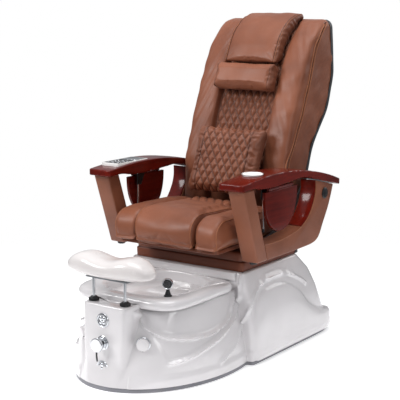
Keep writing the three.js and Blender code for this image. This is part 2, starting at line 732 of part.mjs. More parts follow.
const ARM_TOP_LINE = [
  [-262, 799], [-200, 805], [-126, 812], [-60, 816], [11, 817], [117, 813], [234, 800], [370, 775], [476, 748],
  [557, 722],
];
const ARM_UNDER_LINE = [
  [552, 697], [476, 716], [350, 745], [235, 771], [138, 768], [43, 764], [-37, 762], [-120, 766], [-160, 775],
  [-262, 773],
];

function armPlan(sign) {
  const inner = 280;
  const outer = 400;
  const plan = [
    [inner + 16, -262], [outer - 20, -262], [outer - 6, -256], [outer, -242], [outer, 545], [outer - 8, 557],
    [inner + 18, 557], [inner + 10, 545], [inner + 10, 260], [inner, 200], [inner, -240], [inner + 5, -256],
  ].map(([x, y]) => [sign * x, y]);
  return sign > 0 ? plan : plan.reverse();
}

const QUARTER = {
  outer: [
    [-44, 456], [100, 456], [230, 457], [320, 460], [364, 471], [392, 494], [416, 533], [462, 602], [492, 664],
    [507, 703],
  ],
  inner: [[350, 741], [349, 690], [330, 640], [290, 588], [228, 552], [150, 534], [60, 524], [-14, 523], [-62, 526]],
};

function buildArm({ word, sign }) {
  const post = acrossX([[-127, 456], [-49.5, 456], [-160.5, 772], [-237, 771]], sign * ARM_INNER, sign * ARM_OUTER);
  mesh(`arm_post_${word}`, post, LEATHER);

  const quarterOutline = [[-49, 456.5], ...smooth(QUARTER.outer, 18), ...smooth(QUARTER.inner, 18), [-73.5, 527]];
  const quarter = cut(
    acrossX(quarterOutline, sign * ARM_INNER, sign * ARM_OUTER),
    rod(12, 0, 28, 24).rotateY(sign * Math.PI / 2).translate(sign * 300, ARM_PIVOT.y, ARM_PIVOT.z),
  );
  mesh(`arm_quarter_${word}`, quarter, LEATHER);

  const rail = common(
    acrossX([...ARM_TOP_LINE, ...ARM_UNDER_LINE].reverse(), 200, 500).translate(sign > 0 ? 0 : -700, 0, 0),
    upZ(armPlan(sign), 600, 900),
  );
  const pocket = sign > 0
    ? rod(43, 796, 830, 28).translate(330, -80, 0)
    : block(-388, -294, -190, 32, 806, 830);
  mesh(`arm_top_${word}`, cut(rail, pocket), WOOD);

  const cap = mesh(`arm_pivot_cap_${word}`, turned([[0, 0], [25, 0], [25, 3], [21, 6], [0, 7]]), BLACK);
  cap.position.set(sign * (ARM_OUTER + 0.4), ARM_PIVOT.y, ARM_PIVOT.z);
  cap.rotation.y = sign * Math.PI / 2;

  const drop = 180;
  const reach = 132;
  const leaf = Array.from({ length: 19 }, (_, i) => {
    const angle = Math.PI + (Math.PI * i) / 18;
    const c = Math.cos(angle);
    const s = Math.sin(angle);
    return [
      TRAY_Y + reach * Math.sign(c) * Math.abs(c) ** 0.9,
      TRAY_Z - 8 - drop * Math.abs(s) ** 0.9,
    ];
  });
  const barrel = rod(7, -100, 100, 16).rotateX(Math.PI / 2).translate(sign * TRAY_X, TRAY_Y, TRAY_Z);
  const neckStrip = block(TRAY_X - 6, TRAY_X + 6, TRAY_Y - 90, TRAY_Y + 90, TRAY_Z - 12, TRAY_Z - 2)
    .translate(sign > 0 ? 0 : -2 * TRAY_X, 0, 0);
  const panel = acrossX(leaf, sign * (TRAY_X - 8), sign * (TRAY_X + 8));
  mesh(`tray_${word}`, join(panel, barrel, neckStrip), WOOD);

  const web = acrossX([[-10, 758], [50, 758], [20, 700], [-10, 700]], sign * 326, sign * 332);
  const lug = block(0, 1, -8, 48, 750, 757).scale(24, 1, 1).translate(sign > 0 ? 326 : -350, 0, 0);
  const strut = rod(5, 560, 705, 12).translate(sign * 333, 2, 0);
  mesh(`tray_bracket_${word}`, join(web, lug, strut), BLACK);
}

function buildArmInserts() {
  const bowl = turned([
    [0, 797], [30, 797], [40, 806], [42, 816.5], [45, 817], [44, 819.5], [37, 812], [26, 801], [0, 800],
  ]);
  mesh('manicure_bowl', bowl, CERAMIC).position.set(330, -80, 0.3);
  mesh('handset', block(-387, -295, -189, 31, 806.4, 821), BLACK);
}

// ---------------------------------------------------------------- assembly

buildPedestal();
buildBasin();
buildWorks();
buildFootrest();
buildControls();
buildSeat();
buildBackrest();
sides.forEach(buildArm);
buildArmInserts();

export default chair;
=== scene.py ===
"""Pedicure spa chair: the upholstery, shell, woodwork and fittings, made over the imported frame.

Lengths in the classes are millimetres in the chair's own frame: +X is the sitter's left, the sitter
looks along -Y, and Z is height above the floor. Meshes are written in metres.
"""

from __future__ import annotations

import json
import logging
import math
from dataclasses import dataclass
from enum import Enum
from typing import Callable, Iterable, Sequence

import bmesh
import bpy
import numpy as np
from mathutils import Matrix, Vector
from mathutils.bvhtree import BVHTree

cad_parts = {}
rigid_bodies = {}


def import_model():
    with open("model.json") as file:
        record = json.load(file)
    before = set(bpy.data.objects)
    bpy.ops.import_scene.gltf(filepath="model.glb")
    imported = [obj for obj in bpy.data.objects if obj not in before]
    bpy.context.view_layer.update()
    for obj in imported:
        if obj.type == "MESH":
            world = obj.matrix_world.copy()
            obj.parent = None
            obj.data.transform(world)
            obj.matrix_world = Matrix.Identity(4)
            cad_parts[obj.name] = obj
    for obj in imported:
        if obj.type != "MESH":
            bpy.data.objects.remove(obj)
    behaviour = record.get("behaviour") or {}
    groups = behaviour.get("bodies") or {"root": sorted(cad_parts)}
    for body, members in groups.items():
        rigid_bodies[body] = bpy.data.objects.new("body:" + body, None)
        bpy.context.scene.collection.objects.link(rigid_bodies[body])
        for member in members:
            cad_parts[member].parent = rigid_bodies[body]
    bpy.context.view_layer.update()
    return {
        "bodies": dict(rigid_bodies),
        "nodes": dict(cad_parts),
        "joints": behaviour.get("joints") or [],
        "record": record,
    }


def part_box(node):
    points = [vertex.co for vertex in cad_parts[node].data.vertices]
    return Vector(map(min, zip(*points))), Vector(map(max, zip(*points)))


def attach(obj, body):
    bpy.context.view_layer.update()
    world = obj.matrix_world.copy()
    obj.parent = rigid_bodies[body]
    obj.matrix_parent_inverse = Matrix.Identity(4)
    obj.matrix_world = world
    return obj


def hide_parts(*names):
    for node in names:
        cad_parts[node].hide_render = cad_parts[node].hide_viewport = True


log = logging.getLogger("spa_chair")

MM = 0.001
HALVINGS = 36
SIDES: tuple[tuple[str, float], ...] = (("left", 1.0), ("right", -1.0))
Rows = Sequence[Sequence[float]]


class Slot(Enum):
    """The record's material slots."""

    LEATHER = "leather"
    WOOD = "mahogany"
    PEARL = "pearl_shell"
    PAD = "white_pad"
    STRIP = "grey_trim"
    CHROME = "chrome"
    STEEL = "steel"
    BLACK = "black_plastic"
    CHARCOAL = "charcoal_shell"
    CERAMIC = "ceramic"


# ---------------------------------------------------------------- lines and outlines


def through(rows: Rows, at: np.ndarray | float) -> np.ndarray:
    """Smooth value of a line of (key, value) rows.

    Args:
        rows: keys and values, keys rising.
        at: the keys asked for; beyond the ends the end values hold.

    Returns:
        The values at those keys.
    """
    key, value = np.array(rows, float).T
    step = np.diff(key)
    slope = np.diff(value) / step
    inner = (slope[:-1] * step[1:] + slope[1:] * step[:-1]) / (key[2:] - key[:-2])
    tangent = np.concatenate([slope[:1], inner, slope[-1:]])
    place = np.clip(np.asarray(at, float), key[0], key[-1])
    i = np.clip(np.searchsorted(key, place, "right") - 1, 0, len(key) - 2)
    h = key[i + 1] - key[i]
    t = (place - key[i]) / h
    return (
        value[i] * (2 * t**3 - 3 * t**2 + 1)
        + h * tangent[i] * (t**3 - 2 * t**2 + t)
        + value[i + 1] * (3 * t**2 - 2 * t**3)
        + h * tangent[i + 1] * (t**3 - t**2)
    )


def step_up(low: float, high: float, at: np.ndarray) -> np.ndarray:
    """0 below low, 1 above high, and smooth between them."""
    t = np.clip((at - low) / (high - low), 0, 1)
    return t * t * (3 - 2 * t)


def bump(distance: np.ndarray, width: float) -> np.ndarray:
    """A rounded bump of height 1 on a line."""
    return np.exp(-((distance / width) ** 2))


def resample(points: Rows, count: int, closed: bool = False) -> np.ndarray:
    """A line again, with evenly spaced points.

    Args:
        points: the line's points, in two or three dimensions.
        count: how many points to give.
        closed: whether the last point joins the first.

    Returns:
        An array of count points.
    """
    line = np.asarray(points, float)
    if closed:
        line = np.vstack([line, line[:1]])
    length = np.concatenate([[0], np.cumsum(np.linalg.norm(np.diff(line, axis=0), axis=1))])
    at = np.linspace(0, length[-1], count, endpoint=not closed)
    return np.stack([np.interp(at, length, line[:, k]) for k in range(line.shape[1])], axis=1)


def smooth_line(points: Rows, count: int, closed: bool = False) -> np.ndarray:
    """A smooth line through a few points, evenly spaced.

    Args:
        points: points to pass through.
        count: how many points to give.
        closed: whether the line is a loop.

    Returns:
        An array of count points.
    """
    p = np.asarray(points, float)
    if closed:
        p = np.vstack([p[-1:], p, p[:2]])
    else:
        p = np.vstack([2 * p[0] - p[1], p, 2 * p[-1] - p[-2]])
    t = np.linspace(0, 1, 16, endpoint=False)[:, None]
    parts = []
    for a, b, c, d in zip(p[:-3], p[1:-2], p[2:-1], p[3:]):
        k = [2 * b, c - a, 2 * a - 5 * b + 4 * c - d, 3 * b - a - 3 * c + d]
        parts.append(0.5 * (k[0] + k[1] * t + k[2] * t**2 + k[3] * t**3))
    if not closed:
        parts.append(p[-2:-1])
    return resample(np.vstack(parts), count, closed)


def outward(outline: np.ndarray) -> np.ndarray:
    """Unit normals that point out of a closed flat outline."""
    tangent = np.roll(outline, -1, 0) - np.roll(outline, 1, 0)
    normal = np.stack([tangent[:, 1], -tangent[:, 0]], axis=1)
    normal /= np.maximum(np.linalg.norm(normal, axis=1, keepdims=True), 1e-9)
    nxt = np.roll(outline, -1, 0)
    area = np.sum(outline[:, 0] * nxt[:, 1] - nxt[:, 0] * outline[:, 1])
    return normal if area > 0 else -normal


def rounded_box(width: float, height: float, radius: float, count: int) -> np.ndarray:
    """A closed, evenly spaced outline of a rectangle with round corners about the origin."""
    w, h = width / 2 - radius, height / 2 - radius
    arcs = []
    for cx, cy, start in ((w, -h, -90), (w, h, 0), (-w, h, 90), (-w, -h, 180)):
        a = np.radians(np.linspace(start, start + 90, 9))
        arcs.append(np.stack([cx + radius * np.cos(a), cy + radius * np.sin(a)], axis=1))
    return resample(np.vstack(arcs), count, closed=True)


def line_distance(points: np.ndarray, line: np.ndarray) -> np.ndarray:
    """Distance from each flat point to an open line."""
    best = np.full(len(points), np.inf)
    for a, b in zip(line[:-1], line[1:]):
        along = b - a
        t = np.clip(((points - a) @ along) / max(along @ along, 1e-9), 0, 1)
        best = np.minimum(best, np.linalg.norm(points - a - t[:, None] * along, axis=1))
    return best


def inside_depth(points: np.ndarray, outline: np.ndarray) -> np.ndarray:
    """Distance from each flat point to a closed outline, positive inside it."""
    within = np.zeros(len(points), bool)
    for a, b in zip(outline, np.roll(outline, -1, 0)):
        crosses = (a[1] > points[:, 1]) != (b[1] > points[:, 1])
        rise = np.where(abs(b[1] - a[1]) > 1e-9, b[1] - a[1], 1e-9)
        at = a[0] + (points[:, 1] - a[1]) * (b[0] - a[0]) / rise
        within ^= crosses & (points[:, 0] < at)
    far = line_distance(points, np.vstack([outline, outline[:1]]))
    return np.where(within, far, -far)


def ripple(points: np.ndarray, wavelength: float, seed: int) -> np.ndarray:
    """Soft irregular waves over the points, about -1 to 1, the same on each run.

    Args:
        points: places in millimetres.
        wavelength: typical length of a wave.
        seed: which pattern.

    Returns:
        One value for each point.
    """
    rng = np.random.default_rng(seed)
    total = np.zeros(len(points))
    for _ in range(6):
        way = rng.normal(size=3)
        way *= 2 * math.pi / (wavelength * rng.uniform(0.7, 1.6) * np.linalg.norm(way))
        total += np.sin(points @ way + rng.uniform(0, 2 * math.pi))
    return total / 2.6


def quilt(across: np.ndarray, along: np.ndarray, width: float = 38.0, height: float = 62.0):
    """Diamond quilting.

    Args:
        across: place across the panel.
        along: place up the panel.
        width: width of one diamond.
        height: height of one diamond.

    Returns:
        How full each point is, 0 on a seam to 1 in a diamond, and how close it is to a seam, 1 on it.
    """
    grade = math.hypot(1 / width, 1 / height)
    far = np.full(np.shape(across), np.inf)
    for sign in (1, -1):
        lattice = across / width + sign * along / height
        far = np.minimum(far, np.abs(lattice - np.round(lattice)) / grade)
    return 1 - np.exp(-((far / 6.5) ** 1.5)), bump(far, 2.4)


def box_reach(angle: np.ndarray, half: float, front: float, back: float, power: float) -> np.ndarray:
    """How far a box with soft corners reaches from its middle at each angle.

    Args:
        angle: the angles, in radians.
        half: half its width.
        front: its reach along -Y.
        back: its reach along +Y.
        power: how square its corners are; 2 gives an ellipse.

    Returns:
        One reach for each angle.
    """
    across, along = np.abs(np.cos(angle)), np.sin(angle)
    depth = np.where(along > 0, back, front)
    return ((across / half) ** power + (np.abs(along) / depth) ** power) ** (-1 / power)


def farthest(within: Callable[[np.ndarray], np.ndarray], count: int, most: float) -> np.ndarray:
    """The farthest reach that stays within a shape, along each of many rays.

    Args:
        within: tells for each ray whether a reach is within the shape.
        count: how many rays there are.
        most: a reach that is outside on every ray.

    Returns:
        One reach for each ray.
    """
    low, high = np.zeros(count), np.full(count, most)
    for _ in range(HALVINGS):
        middle = (low + high) / 2
        inside = within(middle)
        low, high = np.where(inside, middle, low), np.where(inside, high, middle)
    return low


def dots(*circles: tuple[float, int], turn: float = 0.0) -> list[tuple[float, float]]:
    """Evenly spaced places on circles about the origin.

    Args:
        circles: the radius of each circle, and how many places it has.
        turn: where each circle's first place is, in degrees.

    Returns:
        The places.
    """
    places = []
    for radius, count in circles:
        for k in range(count):
            angle = math.radians(turn + 360 * k / count)
            places.append((radius * math.cos(angle), radius * math.sin(angle)))
    return places


def round_off(distance: float, radius: float) -> float:
    """How far a rounded corner draws in at a distance from the end that it rounds."""
    left = radius - min(distance, radius)
    return radius - math.sqrt(max(0, radius**2 - left**2))


# ---------------------------------------------------------------- meshes


def make_piece(name: str, points: np.ndarray, faces: Iterable[Sequence[int]], sharp: float = 40.0):
    """A mesh object with outward faces.

    Args:
        name: the piece's name.
        points: places in millimetres.
        faces: corner numbers of each face.
        sharp: edges that turn by more than this many degrees stay crisp.

    Returns:
        The object, linked into the scene.
    """
    mesh = bpy.data.meshes.new(name)
    mesh.from_pydata((np.asarray(points, float) * MM).tolist(), [], [list(f) for f in faces])
    body = bmesh.new()
    body.from_mesh(mesh)
    bmesh.ops.remove_doubles(body, verts=body.verts, dist=2e-5)
    bmesh.ops.recalc_face_normals(body, faces=body.faces)
    body.to_mesh(mesh)
    body.free()
    mesh.shade_smooth()
    mesh.set_sharp_from_angle(angle=math.radians(sharp))
    piece = bpy.data.objects.new(name, mesh)
    bpy.context.scene.collection.objects.link(piece)
    return piece


def skin(name: str, rings: np.ndarray, caps: tuple[bool, bool] = (True, True), around: bool = True,
         sharp: float = 40.0):
    """A surface over a stack of rings with equal point counts.

    Args:
        name: the piece's name.
        rings: array of rings, points and coordinates.
        caps: whether the first and the last ring are closed to their middles.
        around: whether each ring is a loop.
        sharp: crisp edge angle in degrees.

    Returns:
        The object.
    """
    many, count, _ = rings.shape
    i = np.arange(many - 1)[:, None] * count
    j = np.arange(count if around else count - 1)[None, :]
    nxt = (j + 1) % count
    faces = np.stack([i + j, i + nxt, i + nxt + count, i + j + count], axis=-1).reshape(-1, 4).tolist()
    points = rings.reshape(-1, 3)
    for wanted, ring in ((caps[0], 0), (caps[1], many - 1)):
        if wanted:
            points = np.vstack([points, rings[ring].mean(0)[None]])
            middle = len(points) - 1
            start = ring * count
            faces += [[start + k, start + (k + 1) % count, middle] for k in range(count)]
    return make_piece(name, points, faces, sharp)


def lathe(name: str, profile: Rows, sides: int = 48, lobes: int = 0, lobe_depth: float = 0.0):
    """A turned piece about +Z.

    Args:
        name: the piece's name.
        profile: (radius, height) rows.
        sides: points round the piece.
        lobes: how many flutes go round it.
        lobe_depth: depth of the flutes as a share of the radius.

    Returns:
        The object.
    """
    angle = np.linspace(0, 2 * math.pi, sides, endpoint=False)
    flute = 1 - lobe_depth * (0.5 + 0.5 * np.cos(lobes * angle)) if lobes else np.ones(sides)
    rings = np.array([
        np.stack([max(r, 0.01) * flute * np.cos(angle), max(r, 0.01) * flute * np.sin(angle),
                  np.full(sides, h)], axis=1)
        for r, h in profile
    ])
    return skin(name, rings, caps=(False, False))


def tube(name: str, path: np.ndarray, radius: float, sides: int = 8):
    """A round cord of mesh along a path, closed at both ends."""
    line = np.asarray(path, float)
    tangent = np.gradient(line, axis=0)
    tangent /= np.maximum(np.linalg.norm(tangent, axis=1, keepdims=True), 1e-9)
    side = np.cross(tangent[0], [0.31, 0.87, 0.38])
    angle = np.linspace(0, 2 * math.pi, sides, endpoint=False)
    rings = []
    for place, ahead in zip(line, tangent):
        side = side - (side @ ahead) * ahead
        side /= np.linalg.norm(side)
        other = np.cross(ahead, side)
        rings.append(place + radius * (np.cos(angle)[:, None] * side + np.sin(angle)[:, None] * other))
    return skin(name, np.array(rings), sharp=80)


def board(name: str, outline: np.ndarray, x0: float, x1: float, edge: float, steps: int = 3,
          sharp: float = 35.0):
    """A flat board with rounded edges, cut to an outline in (y, z).

    Args:
        name: the piece's name.
        outline: the closed outline.
        x0: one face.
        x1: the other face.
        edge: radius of the rounded edges.
        steps: segments of the rounding.
        sharp: outline corners of more than this many degrees are rounded too.

    Returns:
        The object.
    """
    mesh = bpy.data.meshes.new(name)
    body = bmesh.new()
    face = body.faces.new([body.verts.new((x0 * MM, y * MM, z * MM)) for y, z in outline])
    grown = bmesh.ops.extrude_face_region(body, geom=[face])["geom"]
    moved = [g for g in grown if isinstance(g, bmesh.types.BMVert)]
    bmesh.ops.translate(body, verts=moved, vec=((x1 - x0) * MM, 0, 0))
    bmesh.ops.recalc_face_normals(body, faces=body.faces)
    edges = [e for e in body.edges if e.calc_face_angle(0) > math.radians(sharp)]
    bmesh.ops.bevel(body, geom=edges, offset=edge * MM, segments=steps, profile=0.5, affect="EDGES",
                    clamp_overlap=True)
    body.to_mesh(mesh)
    body.free()
    mesh.shade_smooth()
    mesh.set_sharp_from_angle(angle=math.radians(30))
    piece = bpy.data.objects.new(name, mesh)
    bpy.context.scene.collection.objects.link(piece)
    return piece


def stand(piece: bpy.types.Object, origin: Sequence[float], axis: Sequence[float] = (0, 0, 1),
          roll: float = 0.0):
    """Moves a piece made about +Z so that it stands at a point, along an axis.

    Args:
        piece: the piece, still at the origin.
        origin: where its foot goes, in millimetres.
        axis: the way that its +Z points.
        roll: a turn about its own axis first, in degrees.

    Returns:
        The piece.
    """
    turn = Vector((0, 0, 1)).rotation_difference(Vector(axis)).to_matrix().to_4x4()
    spin = Matrix.Rotation(math.radians(roll), 4, "Z")
    piece.data.transform(Matrix.Translation(Vector(origin) * MM) @ turn @ spin)
    return piece


def merge(name: str, pieces: Sequence[bpy.types.Object]) -> bpy.types.Object:
    """Several pieces as one mesh object, materials kept."""
    body = bmesh.new()
    slots: list[bpy.types.Material] = []
    for piece in pieces:
        before = len(body.faces)
        body.from_mesh(piece.data)
        body.faces.ensure_lookup_table()
        found = piece.data.materials[0] if piece.data.materials else None
        if found is not None and found not in slots:
            slots.append(found)
        for face in body.faces[before:]:
            face.material_index = slots.index(found) if found is not None else 0
    mesh = bpy.data.meshes.new(name)
    body.to_mesh(mesh)
    body.free()
    for material in slots:
        mesh.materials.append(material)
    mesh.shade_smooth()
    mesh.set_sharp_from_angle(angle=math.radians(38))
    for piece in pieces:
        bpy.data.objects.remove(piece)
    joined = bpy.data.objects.new(name, mesh)
    bpy.context.scene.collection.objects.link(joined)
    return joined


def bake(piece: bpy.types.Object) -> None:
    """Applies a piece's modifiers to its mesh."""
    graph = bpy.context.evaluated_depsgraph_get()
    mesh = bpy.data.meshes.new_from_object(piece.evaluated_get(graph))
    piece.modifiers.clear()
    piece.data = mesh


def carve(piece: bpy.types.Object, tool: bpy.types.Object) -> None:
    """Cuts the tool out of the piece, and removes the tool."""
    modifier = piece.modifiers.new("carve", "BOOLEAN")
    modifier.operation = "DIFFERENCE"
    modifier.solver = "EXACT"
    modifier.object = tool
    bake(piece)
    bpy.data.objects.remove(tool)
    piece.data.set_sharp_from_angle(angle=math.radians(35))


def refine(piece: bpy.types.Object, levels: int = 1) -> None:
    """Subdivides a piece smoothly."""
    piece.modifiers.new("refine", "SUBSURF").levels = levels
    bake(piece)


class Surface:
    """A piece's points and normals, for shaping in code."""

    def __init__(self, piece: bpy.types.Object) -> None:
        """Reads the piece."""
        self.piece = piece
        count = len(piece.data.vertices)
        flat = np.empty(count * 3, np.float32)
        piece.data.vertices.foreach_get("co", flat)
        self.points = flat.reshape(-1, 3).astype(float) / MM
        piece.data.vertex_normals.foreach_get("vector", flat)
        self.normals = flat.reshape(-1, 3).astype(float)

    def push(self, depth: np.ndarray) -> None:
        """Moves each point along its normal by a depth in millimetres."""
        self.points += self.normals * depth[:, None]
        self.write()

    def write(self) -> None:
        """Puts the points back into the mesh."""
        self.piece.data.vertices.foreach_set("co", (self.points * MM).astype(np.float32).ravel())
        self.piece.data.update()

    def mark(self, values: np.ndarray) -> None:
        """Stores how much painted shade each point gets in its seams, grooves and folds, for the leather's
        colour.
        """
        mesh = self.piece.data
        attribute = mesh.attributes.get("painted_shade") or mesh.attributes.new("painted_shade", "FLOAT", "POINT")
        attribute.data.foreach_set("value", np.clip(values, 0, 1).astype(np.float32))


def swell(piece: bpy.types.Object, pressure: float, most: float, voxel: float, frames: int = 18) -> None:
    """Fills a closed cover with a cloth simulation, then keeps the result as its mesh.

    Args:
        piece: the cover, a little smaller than it ends.
        pressure: how hard the filling pushes.
        most: how far any point may move, in millimetres.
        voxel: size of the remeshed faces, in millimetres.
        frames: how long the cover is left to settle.
    """
    remesh = piece.modifiers.new("even", "REMESH")
    remesh.mode = "VOXEL"
    remesh.voxel_size = voxel * MM
    bake(piece)
    start = Surface(piece).points
    cloth = piece.modifiers.new("cloth", "CLOTH")
    cloth.settings.use_pressure = True
    cloth.settings.uniform_pressure_force = pressure
    cloth.settings.effector_weights.gravity = 0
    cloth.settings.quality = 4
    cloth.settings.mass = 0.3
    cloth.settings.tension_stiffness = 20
    cloth.settings.compression_stiffness = 20
    cloth.settings.bending_stiffness = 0.8
    cloth.point_cache.frame_start = 1
    cloth.point_cache.frame_end = frames
    scene = bpy.context.scene
    for frame in range(1, frames + 1):
        scene.frame_set(frame)
    bake(piece)
    scene.frame_set(1)
    after = Surface(piece)
    move = after.points - start
    move -= move.mean(0)
    length = np.maximum(np.linalg.norm(move, axis=1, keepdims=True), 1e-6)
    after.points = start + move * np.minimum(1, most / length)
    after.write()
    piece.data.shade_smooth()


def cushion(name: str, outline: np.ndarray, x0: float, x1: float, corner: float, crown: float = 0.0,
            spacing: float = 6.0, scaled: bool = False) -> bpy.types.Object:
    """A stuffed form: an outline in (y, z) carried from x0 to x1, its ends rounded over.

    Args:
        name: the piece's name.
        outline: closed outline.
        x0: one end.
        x1: the other end.
        corner: radius of the rounding at the ends.
        crown: how far the ends bulge.
        spacing: distance between sections.
        scaled: whether the ends shrink towards the middle, as a convex outline allows.

    Returns:
        The object.
    """
    centre, half = (outline.max(0) + outline.min(0)) / 2, np.ptp(outline, axis=0) / 2
    normal = (outline - centre) / half if scaled else outward(outline)
    turns = np.radians(np.linspace(0, 90, 7))
    reach = corner * (1 - np.cos(turns))
    inset = corner * (1 - np.sin(turns))
    middle = np.linspace(corner, x1 - x0 - corner, max(3, int((x1 - x0 - 2 * corner) / spacing)))[1:-1]
    at = np.concatenate([reach, middle, (x1 - x0) - reach[::-1]])
    shrink = np.concatenate([inset, np.zeros(len(middle)), inset[::-1]])
    rings = []
    for share, bulge in ((0.35, 1.0), (0.7, 0.7)):
        flat = outline - normal * corner
        hub = flat.mean(0)
        rings.append(np.column_stack([np.full(len(outline), x0 - crown * bulge), hub + (flat - hub) * share]))
    for place, less in zip(at, shrink):
        flat = outline - normal * less
        rings.append(np.column_stack([np.full(len(outline), x0 + place), flat]))
    for ring in (rings[1], rings[0]):
        other = ring.copy()
        other[:, 0] = x0 + x1 - other[:, 0]
        rings.append(other)
    return skin(name, np.array(rings), sharp=180)


def snap(piece: bpy.types.Object, path: np.ndarray, lift: float) -> np.ndarray:
    """Lays a path on a piece's surface.

    Args:
        piece: the piece.
        path: the path, near the surface.
        lift: how far above the surface it ends, in millimetres.

    Returns:
        The path on the surface.
    """
    body = bmesh.new()
    body.from_mesh(piece.data)
    tree = BVHTree.FromBMesh(body)
    body.free()
    laid = []
    for place in path:
        spot, normal, _, _ = tree.find_nearest(Vector(place) * MM)
        laid.append(np.array(spot) / MM + np.array(normal) * lift)
    smoothed = np.array(laid)
    for _ in range(2):
        smoothed[1:-1] = (smoothed[:-2] + 2 * smoothed[1:-1] + smoothed[2:]) / 4
    return smoothed


# ---------------------------------------------------------------- finishes


def linear(code: str, alpha: float = 1.0) -> tuple[float, float, float, float]:
    """A colour from its six-digit screen code, as the shader wants it."""
    parts = [int(code[k:k + 2], 16) / 255 for k in (0, 2, 4)]
    r, g, b = (p / 12.92 if p <= 0.04045 else ((p + 0.055) / 1.055) ** 2.4 for p in parts)
    return (r, g, b, alpha)


def add_node(tree: bpy.types.NodeTree, kind: str, inputs: dict | None = None, **props) -> bpy.types.Node:
    """A shader node with its settings and sockets filled in.

    Args:
        tree: where it goes.
        kind: the node's type name.
        inputs: values or output sockets by input name or number.
        props: the node's own settings.

    Returns:
        The node.
    """
    node = tree.nodes.new(kind)
    for key, value in props.items():
        setattr(node, key, value)
    for key, value in (inputs or {}).items():
        if isinstance(value, bpy.types.NodeSocket):
            tree.links.new(value, node.inputs[key])
        else:
            node.inputs[key].default_value = value
    return node


def start_group(name: str, inputs: Sequence[tuple[str, str]], outputs: Sequence[tuple[str, str]]):
    """An empty shader group with named sockets, and its two end nodes."""
    tree = bpy.data.node_groups.new(name, "ShaderNodeTree")
    for label, kind in inputs:
        tree.interface.new_socket(name=label, in_out="INPUT", socket_type=f"NodeSocket{kind}")
    for label, kind in outputs:
        tree.interface.new_socket(name=label, in_out="OUTPUT", socket_type=f"NodeSocket{kind}")
    return tree, tree.nodes.new("NodeGroupInput"), tree.nodes.new("NodeGroupOutput")


